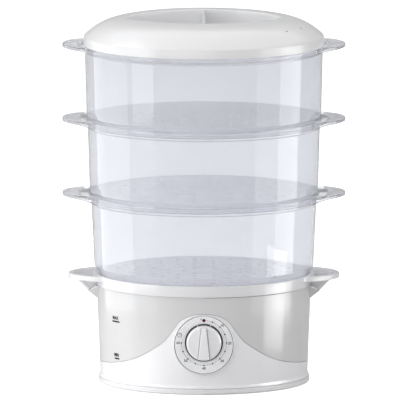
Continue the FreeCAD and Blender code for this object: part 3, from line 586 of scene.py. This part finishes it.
# ================================================================ baskets
def number_relief(name, text, size, x, y, z, h, turn):
    """A raised moulded number lying flat, read from its own side."""
    c = bpy.data.curves.new(name, "FONT")
    c.body = text
    c.size = size * MM
    c.align_x, c.align_y = "CENTER", "CENTER"
    c.extrude = h * MM
    c.resolution_u = 6
    o = link(bpy.data.objects.new(name, c))
    dg = bpy.context.evaluated_depsgraph_get()
    dg.update()
    me = bpy.data.meshes.new_from_object(o.evaluated_get(dg))
    bpy.data.objects.remove(o)
    me.transform(Matrix.Translation((x * MM, y * MM, z * MM)) @ Matrix.Rotation(math.radians(turn), 4, "Z"))
    me.name = name
    return link(bpy.data.objects.new(name, me))


def smoothstep(a, b, x):
    t = min(1.0, max(0.0, (x - a) / (b - a)))
    return t * t * (3 - 2 * t)


EAR_TOP = {"basket_1": 206.4, "basket_2": 287.3, "basket_3": 367.8}
EAR_GUTTER = {"basket_1": 204.8, "basket_2": 285.7, "basket_3": 365.45}
STEP_R = 134.4


EAR_EDGE = ((115, 121, 127, 132, 145, 153), (-9.6, -8.3, -6.2, -4.9, -4.0, -3.5))


def ear_mesh(name, rr, top, rim_top, gutter, lowest):
    """Ear: a thin plate with a raised lip, a step down to a gutter beside the rim and an edge
    that hangs down, deeper towards the rim."""
    n = 121
    out = ear_outline(EAR_TIP, EAR_ROOT, rr, n, .4)
    a0 = math.atan2(out[0][1], out[0][0])
    a1 = math.atan2(out[-1][1], out[-1][0])
    secs = []
    for i in range(n):
        p = Vector((out[i][0], out[i][1]))
        a = lerp(a0, a1, i / (n - 1))
        q = Vector((math.cos(a), math.sin(a))) * (rr - 1.9)
        L = (p - q).length
        f = min(1.0, L / 9.0)
        d = (q - p).normalized()
        T = lerp(rim_top - .05, top, smoothstep(.8, 7.0, p.length - rr))
        B = top + float(np.interp(p.x, *EAR_EDGE))
        B = max(B, lowest + .05)

        def rad(s):
            return (p + d * s).length

        def at(s, z):
            v = p + d * s
            return (v.x, v.y, z)

        ss = np.linspace(3.2 * f, L, 400)
        rs = np.array([rad(v) for v in ss])
        sa = float(ss[np.argmax(rs < STEP_R + .3)]) if (rs < STEP_R + .3).any() else L * .5
        sb = float(ss[np.argmax(rs < STEP_R - 1.0)]) if (rs < STEP_R - 1.0).any() else L * .6
        sa = max(sa, 3.2 * f + .05 * L)
        sb = max(sb, sa + .06 * L)
        G = min(gutter, T - .3)

        def surf(s):
            plate = T - .38 * smoothstep(1.5 * f, 2.7 * f, s)
            return lerp(plate, G, smoothstep(sa, sb, s))

        sec = [at(.5 * f, B), at(.12 * f, B + .15), at(0, B + .5), at(0, B + 1.0), at(0, T - 1.2), at(.08 * f, T - .7), at(.3 * f, T - .3),
               at(.65 * f, T - .08), at(1.0 * f, T), at(1.5 * f, T)]
        top_s = [1.8 * f, 2.1 * f, 2.4 * f, 2.8 * f, 3.2 * f]
        top_s += [lerp(3.2 * f, sa, t) for t in (.25, .5, .75, 1.0)]
        top_s += [lerp(sa, sb, t) for t in (.15, .3, .45, .6, .75, .88, 1.0)]
        top_s += [lerp(sb, L, t) for t in (.2, .4, .6, .8, 1.0)]
        sec += [at(v, surf(v)) for v in top_s]
        u1 = max(min(T - 4.6, G - 2.2), B + .4)
        u2 = max(T - 2.4, u1)
        for v in [lerp(L, sb, t) for t in (0, .25, .5, .75, 1.0)]:
            sec.append(at(v, u1))
        for t in (.25, .5, .75, 1.0):
            sec.append(at(lerp(sb, sa, t), lerp(u1, u2, smoothstep(0, 1, t))))
        for t in (.3, .6, 1.0):
            sec.append(at(lerp(sa, 2.9 * f, t), u2))
        sec += [at(2.35 * f, u2 - .1), at(2.05 * f, u2 - .45), at(1.95 * f, lerp(u2 - .45, B + .5, .5)), at(1.9 * f, B + .45), at(1.8 * f, B + .15), at(1.45 * f, B)]
        secs.append(sec)
    return loft(name, secs, weld=2e-6)


for k, (bname, (zf, rf, r0, r1, zr, zt, rr)) in enumerate(BASKETS.items()):
    t = WALL_B
    first, last = k == 0, k == 2
    z_step = zf + (6.2 if first else 7.9)
    z_wall = z_step + (7.6 if first else 2.4)
    zfl = z_step + (0.6 if first else 0.4)
    prof = [(rf, zf, .7), (rf, z_step, .8), (r0, z_wall, 3.0), (r1 - .03, zr - .9, .9)]
    if not last:
        prof += [(rr - .75, zr, .6), (rr - .6, zt - 5.2, .5), (rr, zt - 4.5, .7), (rr, zt, 1.1), (rr - 2.4, zt, .9),
                 (rr - 2.4, zr + 2.1, .6), (r1 - t, zr + 2.1, .8)]
    else:
        prof += [(rr - .6, zr, .6), (rr - .5, 361.0, .4), (rr, 361.6, .6), (rr, 365.6, .8), (127.2, 365.6, .3), (127.2, zt, .9),
                 (125.1, zt, .9), (125.1, 365.0, 1.0), (r1 - t, zr, 2.0)]
    prof += [(r0 - t, z_wall + .3, 3.0), (rf - t, z_step + .9, .8), (rf - t, zfl - 2.0, .2), (rf - t - 3.2, zfl - 2.0, .4),
             (rf - t - 3.2, zfl - 3.6, .7), (rf - t, zfl - 3.6, .6), (rf - t, zf, .7)]
    b = revolve(bname + "_shell", rounded(prof, 5), 288)
    top = EAR_TOP[bname]
    for side in (1, -1):
        ear = ear_mesh(bname + "_ear", rr, top, 365.5 if last else zt, EAR_GUTTER[bname], zr)
        if side < 0:
            other = mirrored_x(ear, bname + "_ear2")
            bpy.data.objects.remove(ear)
            ear = other
        boolean(b, ear, "UNION")
        boolean(b, number_relief("mark", str(k + 1), 8.0, side * (EAR_TIP - 9.5), 0, top - .42, .3, 90 * side), "UNION")
    piece(b, ("lower_basket", "middle_basket", "upper_basket")[k], CLEAR, "basket", bname, angle=35)
    # the plates of the ears are slightly frosted; their hanging edges take a dark clear plastic, painted shade for the
    # dark outline that refraction gives them
    b.data.materials.append(CLEAR_EAR)
    b.data.materials.append(CLEAR_EDGE_PAINTED_SHADE)
    for f in b.data.polygons:
        c = sum((b.data.vertices[v].co for v in f.vertices), Vector()) / len(f.vertices) / MM
        low = top + float(np.interp(abs(c.x), *EAR_EDGE))
        # painted shade on the hanging edges of the ears
        if math.hypot(c.x, c.y) > rr + .35 and top - 12 < c.z < low + .95:
            f.material_index = 2
        elif math.hypot(c.x, c.y) > STEP_R + .2 and f.normal.z > .5:
            f.material_index = 1


# ================================================================ drip tray
def arc_pts(r, y0, y1, n):
    return [(math.sqrt(r * r - y * y), y) for y in np.linspace(y0, y1, n)]


def soften(poly, radius, rounds=3, step=0.6):
    """Rounds the corners of a closed outline by averaging along it."""
    P = np.array(densify(poly, step))
    w = max(1, int(radius / step))
    for _ in range(rounds):
        Q = np.zeros_like(P)
        for k in range(-w, w + 1):
            Q += np.roll(P, k, axis=0)
        P = Q / (2 * w + 1)
    return [tuple(p) for p in P]


def ray_hit(poly, c, a):
    """Distance from c along direction a to a closed outline around c."""
    d = (math.cos(a), math.sin(a))
    best = None
    n = len(poly)
    for i in range(n):
        p, q = poly[i], poly[(i + 1) % n]
        ex, ey = q[0] - p[0], q[1] - p[1]
        det = d[0] * -ey + d[1] * ex
        if abs(det) < 1e-12:
            continue
        wx, wy = p[0] - c[0], p[1] - c[1]
        t = (wx * -ey + wy * ex) / det
        u = (d[0] * wy - d[1] * wx) / det
        if t > 0 and -1e-9 <= u <= 1 + 1e-9 and (best is None or t < best):
            best = t
    return best


def tray_handle(name):
    """Open loop handle round the fill opening; the opening narrows a little downwards."""
    spl = [(float(x), float(y)) for x, y in ear_outline(TRAY_TIP, TRAY_ROOT, COLLAR_R, 220)]
    back = [(115.5 * math.cos(a), 115.5 * math.sin(a)) for a in
            np.linspace(math.atan2(spl[-1][1], spl[-1][0]), math.atan2(spl[0][1], spl[0][0]), 60)]
    outer = spl + back[1:-1]
    hs = [(float(x), float(y)) for x, y in ear_outline(TRAY_TIP - 6.4, TRAY_ROOT - 12.5, COLLAR_R, 400)]
    hs = [p for p in hs if math.hypot(*p) > 120.0 and abs(p[1]) < 30]
    hole = hs + list(reversed(arc_pts(120.0, hs[0][1], hs[-1][1], 60)))[1:-1]
    hole = soften(hole, 1.6, 2, .4)
    c = (127.0, 0.0)
    # rays by arc length of the outer outline so that the tangential ends stay fine
    P = densify(outer, .9)
    secs = []
    lo, hi = 112.75, 118.1
    for x, y in P:
        a = math.atan2(y - c[1], x - c[0])
        ri = ray_hit(hole, c, a)
        ro = math.hypot(x - c[0], y - c[1])
        w = ro - ri
        d = (math.cos(a), math.sin(a))
        k = smoothstep(116.4, 122.0, math.hypot(x, y))        # 0 on the collar's side
        fun = 2.3 * k
        base = rounded([(-fun, lo, .5), (-fun * .9, lo + 1.0, .6), (.1 + .35 * k, hi - .05, .9), (w, hi, lerp(.3, 1.5, k)), (w, lo, .8)], 5)
        secs.append([(c[0] + d[0] * (ri + s), c[1] + d[1] * (ri + s), z) for s, z in base])
    return loft(name, secs, wrap=True, caps=False)


def tray_chute(name):
    parts = []
    body = prism(name, rounded([(136.0, 113.4), (137.2, 113.4), (137.2, 112.8, .8), (125.2, 100.4, .9), (123.7, 100.4, .5), (123.7, 101.4, .8)], 4),
                 -15.0, 15.0, "y")
    parts.append(bevelled(body, .4, 2))
    cheek = [(116.0, 113.4), (119.0, 113.4), (120.6, 115.2, .6), (131.2, 115.2, .6), (133.6, 113.4), (135.6, 113.4), (124.5, 101.9, .8), (123.9, 101.1, .4), (116.0, 104.7)]
    for s in (-1, 1):
        lo, hi = sorted((s * 12.4, s * 13.8))
        parts.append(bevelled(prism(name, rounded(cheek, 3), lo, hi, "y"), .35, 2))
    rib = rounded([(136.3, 113.3), (137.35, 113.3), (137.32, 112.75, .8), (125.22, 100.28, .5), (123.2, 102.4, .5), (133.4, 113.3)], 4)
    for s in (-1, 1):
        lo, hi = sorted((s * 13.5, s * 15.13))
        parts.append(bevelled(prism(name, rib, lo, hi, "y"), .35, 2))
    return parts


tray_prof = rounded([(COLLAR_R, COLLAR_LO, .5), (COLLAR_R, COLLAR_HI, .8), (COLLAR_IN, COLLAR_HI, .7), (COLLAR_IN, 112.0, .5),
                     (110.2, 112.0, 1.0), (109.6, 101.6, 3.0), (36.0, 102.4, 2.5), (34.2, 109.0, .8), (32.4, 109.0, .8),
                     (32.4, 99.9, .6), (112.05, 99.7, 1.6), (112.05, COLLAR_LO, .5)], 5)
tray = revolve("tray_shell", tray_prof, 288)
cap = revolve("tray_cap", rounded([(0, 112.8), (35.6, 112.8, 1.2), (37.0, 110.8, .5), (38.6, 110.9, .7), (37.6, 114.3, 1.6), (0, 114.6)], 4), 96)
boolean(tray, cap, "UNION")
for az in (45, 135, 225, 315):
    rib = prism("rib", [(29.6, -1.0), (33.4, -1.0), (33.4, 1.0), (29.6, 1.0)], 100.6, 113.2)
    boolean(tray, turn_z(bevelled(rib, .25, 2), az), "UNION")
for side in (1, -1):
    for make in ("loop", "chute"):
        for o in ([tray_handle("handle")] if make == "loop" else tray_chute("chute")):
            if side < 0:
                m = mirrored_x(o, "m")
                bpy.data.objects.remove(o)
                o = m
            boolean(tray, o, "UNION")
    for s in (-1, 1):
        slit = prism("slit", rounded([(112.3, -.75, .3), (118.4, -.75, .3), (118.4, .75, .3), (112.3, .75, .3)], 3), 104.0, 110.8)
        boolean(tray, turn_z(slit, (0 if side > 0 else 180) + s * 15.6))
piece(tray, "tray", TRAY_WHITE_PAINTED_SHADE, "white_shell", "drip_tray", angle=32)


# ================================================================ base
_wave = spline([(-x, z) for x, z in reversed(WAVE[1:])] + [(float(x), z) for x, z in WAVE], 2400, even=False)


def wave_z(x):
    return float(np.interp(x, _wave[:, 0], _wave[:, 1]))


def wave_at(a):
    """Height of the housing's edge at an angle from +X."""
    back = math.sin(a)
    z = BACK_LINE
    for _ in range(12):
        x = wall_r(z) * math.cos(a)
        z = wave_z(x)
    if back > 0:
        z = lerp(z, BACK_LINE, smoothstep(0, .10, back)) if back < .10 else BACK_LINE
    return z


def housing_section(a):
    zt = wave_at(a)
    q = []
    for r, z in rounded([(113.4, 7.0), (112.75, 8.0, .5), (R_LOW + .02, 9.9, .9), (wall_r(13.0), 13.0)], 4, closed=False):
        q.append((r, z))
    for k in range(1, 18):
        z = lerp(13.0, zt - 1.0, k / 17)
        q.append((wall_r(z), z))
    r = wall_r(zt)
    q += [(r - .03, zt - .68), (r - .12, zt - .54), (r - .28, zt - .46), (r - .55, zt - .43), (r - WALL_H, zt - .43)]
    for k in range(1, 8):
        z = lerp(zt, Z_LOW, k / 7)
        q.append((wall_r(z) - WALL_H, z))
    q.append((R_LOW - WALL_H, 7.0))
    return q


housing = turned_loft("housing_shell", housing_section, 720)
boolean(housing, cyl("t", 31.2, -130, -90, 0, 0, PLATE_Z, "y", 160))
boss = revolve("boss", rounded([(DIAL_R + .48, BOSS_Y - .15, .4), (BOSS_R, BOSS_Y - .15, .75), (BOSS_R, -108.6), (30.9, -108.6), (30.9, -110.4),
                                (29.6, -110.4), (29.6, -112.0), (0, -112.0), (0, PLATE_BACK), (DIAL_R + .48, PLATE_BACK)], 5),
               160, "y", (0, 0, PLATE_Z))
boolean(boss, cyl("t", 6.3, -116, -100, 0, 0, DIAL_Z, "y", 48))
inside = turned_loft("inside", lambda a: [(0, 5)] + [(wall_r(z) - WALL_H + .2, z) for z in (5, 20, 40, 60, 75, 87)] + [(R_TOP - WALL_H + .2, 99), (0, 99)], 360)
keep = cyl("keep", 30.95, -130, -90, 0, 0, PLATE_Z, "y", 96)
boolean(inside, keep)
boolean(boss, inside)
boolean(housing, boss, "UNION")
for s in (-1, 1):
    post = cyl("post", 3.6, -112.5, -107.0, s * 25, 0, DIAL_Z, "y", 40)
    boolean(post, cyl("bore", 1.3, -112.2, -106, s * 25, 0, DIAL_Z, "y", 24))
    boolean(housing, post, "UNION")
boolean(housing, cyl("t", 5.3, 100, 122, 0, 0, 14.6, "y", 40))
piece(housing, "base", WHITE, "white_shell", "lower_housing", angle=30)
# the narrow ring of floor round the knob is painted matt black: painted shade for the shadow in the deep gap round the
# knob
housing.data.materials.append(BLACK)
for f in housing.data.polygons:
    c = sum((housing.data.vertices[v].co for v in f.vertices), Vector()) / len(f.vertices) / MM
    if abs(c.y - PLATE_BACK) < .15 and 10 < math.hypot(c.x, c.z - DIAL_Z) < WELL_R + .1 and f.normal.y < -.9:
        f.material_index = 1

# a raised bead along the rim of each fill spout
for sx, where in ((1, "right"), (-1, "left")):
    beads = []
    for sy in (-1, 1):
        secs = []
        for t in np.linspace(0, 1, 13):
            x, y = lerp(115.2, 124.2, t), lerp(22.6, 13.6, t)
            zr = 105.4 - .63 * (x - 115.4)
            h = lerp(1.15, .75, t) if t < .8 else lerp(.75, .12, (t - .8) / .2)
            n = (.714, .70)
            sec = []
            for off, z in ((.28, zr - .3), (.28, zr + h - .35), (.1, zr + h - .08), (-.25, zr + h), (-.85, zr + h), (-1.15, zr + h - .2), (-1.25, zr + h - .5), (-1.25, zr - .3)):
                q = (x + n[0] * off, y + n[1] * off)
                sec.append((sx * q[0], sy * q[1], z))
            secs.append(sec)
        beads.append(loft("bead", secs))
    piece(join("spout_bead_" + where, beads), "base", TANK, "tank", angle=40)

# ---------------------------------------------------------------- dial and knob
plate = revolve("dial_face", rounded([(0, PLATE_BACK), (0, PLATE_Y), (DIAL_R - .12, PLATE_Y, .5), (DIAL_R - .12, PLATE_BACK)], 6),
                160, "y", (0, 0, PLATE_Z))
boolean(plate, revolve("well", rounded([(0, -114.0), (WELL_R, -114.0), (WELL_R, -115.7, .4), (WELL_R + 2.0, -117.0, .5), (WELL_R + 4.0, -117.6), (WELL_R + 4.0, -119), (0, -119)], 6),
                       160, "y", (0, 0, DIAL_Z)))
piece(plate, "base", DIAL, "dial", "dial_plate", angle=32)

knob = revolve("knob_cap", rounded([(0, KNOB_FACE), (KNOB_R - 1.7, KNOB_FACE + .1, 1.5), (KNOB_R - .15, KNOB_FACE + 2.4, 1.2), (KNOB_R, KNOB_BACK, .4),
                                    (KNOB_R - 1.6, KNOB_BACK, .4), (KNOB_R - 1.9, KNOB_FACE + 2.6, .6), (6.1, KNOB_FACE + 2.6, .5),
                                    (5.9, KNOB_BACK, .3), (0, KNOB_BACK)], 5), 128, "y", (0, 0, DIAL_Z))
# the pointer ridge narrows upwards; its faces lean in a little towards the top
def ridge_loop(y, grow, zt, zb, wt, wb, rc):
    pts = rounded([(-wt - grow, zt + grow * .6, rc), (wt + grow, zt + grow * .6, rc), (wb + grow, zb - grow * .6, rc),
                   (-wb - grow, zb - grow * .6, rc)], 6)
    return [(x, y, DIAL_Z + z) for x, z in pts]


def clip_round(loop, r):
    out = []
    for x, y, z in loop:
        d = math.hypot(x, z - DIAL_Z)
        if d > r:
            x, z = x * r / d, DIAL_Z + (z - DIAL_Z) * r / d
        out.append((x, y, z))
    return out


# a moulded crease runs round the foot of the ridge
crease = loft("crease", [clip_round(ridge_loop(y, grow, 19.4, -18.9, 2.25, 6.4, 1.0), rmax) for y, grow, rmax in
                         ((KNOB_FACE + 1.65, .75, 18.2), (KNOB_FACE + 1.35, 1.1, 18.35), (KNOB_FACE + .12, 1.4, 18.5), (KNOB_FACE - .6, 1.7, 18.8))])
boolean(knob, crease)
levels = [(KNOB_FACE + 2.2, .3, 17.9), (KNOB_FACE + .05, .3, 17.9), (KNOB_FACE - .3, .29, 17.88), (KNOB_FACE - 1.2, .26, 17.85),
          (KNOB_TOP + 1.0, .05, 17.6), (KNOB_TOP + .55, -.02, 17.45), (KNOB_TOP + .25, -.12, 17.25), (KNOB_TOP + .08, -.28, 17.0), (KNOB_TOP, -.5, 16.7)]
secs = []
for y, grow, rmax in levels:
    secs.append(clip_round(ridge_loop(y, grow, 19.4, -18.9, 2.25, 6.4, 1.0), rmax))
ridge = loft("ridge", secs)
boolean(knob, ridge, "UNION")
boolean(knob, cyl("t", 3.02, -126.4, -113, 0, 0, DIAL_Z, "y", 40))
piece(knob, "knob", KNOBM, "knob", "timer_knob", angle=34)


# ================================================================ prints
def text_flat(name, text, size, h, bold=0.0):
    c = bpy.data.curves.new(name, "FONT")
    c.body = text
    c.size = size * MM
    c.align_x, c.align_y = "CENTER", "CENTER"
    c.extrude = h * MM
    c.offset = bold * MM
    c.resolution_u = 5
    o = link(bpy.data.objects.new(name, c))
    dg = bpy.context.evaluated_depsgraph_get()
    dg.update()
    me = bpy.data.meshes.new_from_object(o.evaluated_get(dg))
    bpy.data.objects.remove(o)
    out = link(bpy.data.objects.new(name, me))
    bm = bmesh.new()
    bm.from_mesh(me)
    bmesh.ops.remove_doubles(bm, verts=bm.verts, dist=1e-7)
    bm.to_mesh(me)
    bm.free()
    return out


def warp(obj, fn):
    for v in obj.data.vertices:
        v.co = Vector(fn(v.co.x / MM, v.co.y / MM, v.co.z / MM)) * MM
    obj.data.update()
    bm = bmesh.new()
    bm.from_mesh(obj.data)
    bmesh.ops.recalc_face_normals(bm, faces=bm.faces)
    bm.to_mesh(obj.data)
    bm.free()
    return obj


INK_H = .025


def on_dial(obj, x, z, turn=0.0):
    c, s = math.cos(turn), math.sin(turn)
    return warp(obj, lambda u, v, w: (x + u * c + v * s, PLATE_Y - INK_H - w + .02, DIAL_Z + z - u * s + v * c))


def disc(name, r, n=28):
    return prism(name, [(r * math.cos(2 * math.pi * k / n), r * math.sin(2 * math.pi * k / n)) for k in range(n)], -INK_H, INK_H)


def bar(name, w, h):
    return prism(name, rounded([(-w / 2, -h / 2, min(w, h) * .3), (w / 2, -h / 2, min(w, h) * .3), (w / 2, h / 2, min(w, h) * .3), (-w / 2, h / 2, min(w, h) * .3)], 3),
                 -INK_H, INK_H)


marks = []
for m in range(0, 61):
    a = math.radians(m * 4.5)
    r = 24.3
    big = m % 5 == 0
    if m == 0:
        continue
    marks.append(on_dial(disc("dot", .85 if big else .42, 22 if big else 12), r * math.sin(a), r * math.cos(a)))
for i, label in enumerate(("10", "20", "30", "40", "50", "60")):
    a = math.radians(45 * (i + 1))
    marks.append(on_dial(text_flat("num", label, 3.9, INK_H, .07), 27.7 * math.sin(a), 27.3 * math.cos(a) - (.4 if i < 4 else 0)))
# simple clock sign: a ring with two hands
a = math.radians(292)
gx, gz = 28.0 * math.sin(a), 28.0 * math.cos(a) - 2.0
marks.append(on_dial(revolve("ring", [(1.95, -INK_H), (2.45, -INK_H), (2.45, INK_H), (1.95, INK_H)], 48), gx, gz))
marks.append(on_dial(bar("hand", .42, 1.6), gx, gz + .6))
marks.append(on_dial(bar("hand", 1.4, .42), gx + .5, gz - .1))
piece(join("dial_scale", marks), "base", INK, "dial", angle=40)
piece(on_dial(disc("dial_zero_dot", 1.75, 36), 0, 24.3), "base", INK_RED, "dial", angle=40)
piece(on_dial(text_flat("dial_zero", "0", 3.2, INK_H, .03), -2.9, 25.4), "base", INK_GREY, "dial", angle=40)

level = []


def on_wall(obj, phi, z0):
    """phi: angle to the left of the front; u runs to the right as seen from outside."""
    def f(u, v, w):
        z = z0 + v
        r = wall_r(z) + INK_H + w + .09
        a = -phi + u / R_TOP
        return (r * math.sin(a), -r * math.cos(a), z)
    return warp(obj, f)


def dense_bar(name, w, h):
    pts = densify(rounded([(-w / 2, -h / 2, .15), (w / 2, -h / 2, .15), (w / 2, h / 2, .15), (-w / 2, h / 2, .15)], 2), .8)
    return prism(name, pts, -INK_H, INK_H)


PHI = math.radians(56)
for z, label in ((73.0, "MAX"), (32.6, "MIN")):
    level.append(on_wall(dense_bar("bar", 13.6 if label == "MAX" else 9.2, 1.6), PHI, z))
    level.append(on_wall(text_flat("label", label, 5.0, INK_H, .2), PHI + .006, z + 3.8))
piece(join("level_marks", level), "base", INK, "tank", angle=40)


# ==================================================================== stage
FLOOR = 24.0
fm = bpy.data.meshes.new("floor")
fm.from_pydata([(-FLOOR, -FLOOR, 0), (FLOOR, -FLOOR, 0), (FLOOR, FLOOR, 0), (-FLOOR, FLOOR, 0)], [], [(0, 1, 2, 3)])
floor = link(bpy.data.objects.new("floor", fm))
floor_mat = material("floor_white", (0.93, 0.93, 0.93), 0.9, noise_scale=3, vary=0.002, rough_vary=0.02, bump=0,
                     Emission_Color=(1, 1, 1, 1), Emission_Strength=0.55)
set_mat(floor, floor_mat)
# seen directly or through clear plastic the floor is bright paper; towards the object it is a dimmer surface
nt = floor_mat.node_tree
dim = nt.nodes.new("ShaderNodeBsdfDiffuse")
dim.inputs["Color"].default_value = (0.62, 0.62, 0.62, 1)
path = nt.nodes.new("ShaderNodeLightPath")
either = nt.nodes.new("ShaderNodeMath")
either.operation = "MAXIMUM"
both = nt.nodes.new("ShaderNodeMixShader")
nt.links.new(path.outputs["Is Camera Ray"], either.inputs[0])
nt.links.new(path.outputs["Is Transmission Ray"], either.inputs[1])
nt.links.new(either.outputs[0], both.inputs[0])
nt.links.new(dim.outputs[0], both.inputs[1])
nt.links.new(next(n for n in nt.nodes if n.type == "BSDF_PRINCIPLED").outputs[0], both.inputs[2])
nt.links.new(both.outputs[0], next(n for n in nt.nodes if n.type == "OUTPUT_MATERIAL").inputs["Surface"])

world = bpy.data.worlds.new("studio")
SCENE.world = world
world.use_nodes = True
bg = world.node_tree.nodes["Background"]
bg.inputs["Color"].default_value = (1, 1, 1, 1)
# the room looks bright to the eye and through clear plastic, and dimmer in reflections
wl = world.node_tree.nodes.new("ShaderNodeLightPath")
we = world.node_tree.nodes.new("ShaderNodeMath")
we.operation = "MAXIMUM"
wm = world.node_tree.nodes.new("ShaderNodeMath")
wm.operation = "MULTIPLY_ADD"
wm.inputs[1].default_value = 0.64
wm.inputs[2].default_value = 0.36
world.node_tree.links.new(wl.outputs["Is Camera Ray"], we.inputs[0])
world.node_tree.links.new(wl.outputs["Is Transmission Ray"], we.inputs[1])
world.node_tree.links.new(we.outputs[0], wm.inputs[0])
world.node_tree.links.new(wm.outputs[0], bg.inputs["Strength"])


def softbox(name, azimuth, elevation, dist, width, height, radiance, aim=(0, 0, 0.2), diffuse=True):
    """azimuth: degrees to the right of the front; elevation: degrees above the horizon, both seen from aim."""
    ld = bpy.data.lights.new(name, "AREA")
    ld.shape = "RECTANGLE"
    ld.size, ld.size_y = width, height
    ld.energy = radiance * math.pi * width * height
    o = link(bpy.data.objects.new(name, ld))
    a, e, t = math.radians(azimuth), math.radians(elevation), Vector(aim)
    o.location = t + Vector((math.sin(a) * math.cos(e), -math.cos(a) * math.cos(e), math.sin(e))) * dist
    o.rotation_euler = (t - o.location).to_track_quat("-Z", "Y").to_euler()
    o.visible_camera = False
    o.visible_transmission = False
    o.visible_diffuse = diffuse
    return o


softbox("overhead", 180, 71.565, 3.162, 5.0, 5.5, 0.84, (0, 0, 0)).rotation_euler = (0, 0, 0)
softbox("side_left", -98, 0, .50, .48, .40, 1.75, (0, 0, .19), diffuse=False)
softbox("side_left_wide", -72, 0, .62, .60, .42, .6, (0, 0, .19))
softbox("top_left", -100, 42, 1.3, .8, .8, 2.0, (0, 0, .36))
softbox("front_left", -60, 13, 1.3, .55, .9, 2.9, (0, 0, .16))
softbox("front", -12, 14, 2.0, 1.5, 1.2, 1.5, (0, 0, .18))
softbox("right", 72, 16, 1.4, .8, .8, 2.4, (0, 0, .16))
softbox("strip_right", 84, 0, .46, .22, .42, 3.1, (0, 0, .19), diffuse=False)
softbox("strip_right_soft", 72, 0, .50, .46, .42, 1.5, (0, 0, .19), diffuse=False)
softbox("strip_base", 84, 0, .16, .10, .10, 4.2, (.079, -.088, .062), diffuse=False)
softbox("base_left", -60, 0, .12, .16, .06, 2.0, (-.100, -.064, .032)).visible_glossy = False
SCENE.view_settings.view_transform = "Standard"

# =================================================================== camera
cam_d = bpy.data.cameras.new("camera")
cam = link(bpy.data.objects.new("camera", cam_d))
ELEV = math.radians(7.9)
AIM = Vector((-0.0042, 0.0, 0.1963))
DIST = 20.0
cam.location = AIM + Vector((0, -math.cos(ELEV), math.sin(ELEV))) * DIST
cam.rotation_euler = (AIM - cam.location).to_track_quat("-Z", "Y").to_euler()
cam_d.sensor_width = 36.0
cam_d.lens = 36.0 * DIST / 0.432
cam_d.clip_start = 1.0
cam_d.clip_end = 100.0
SCENE.camera = cam
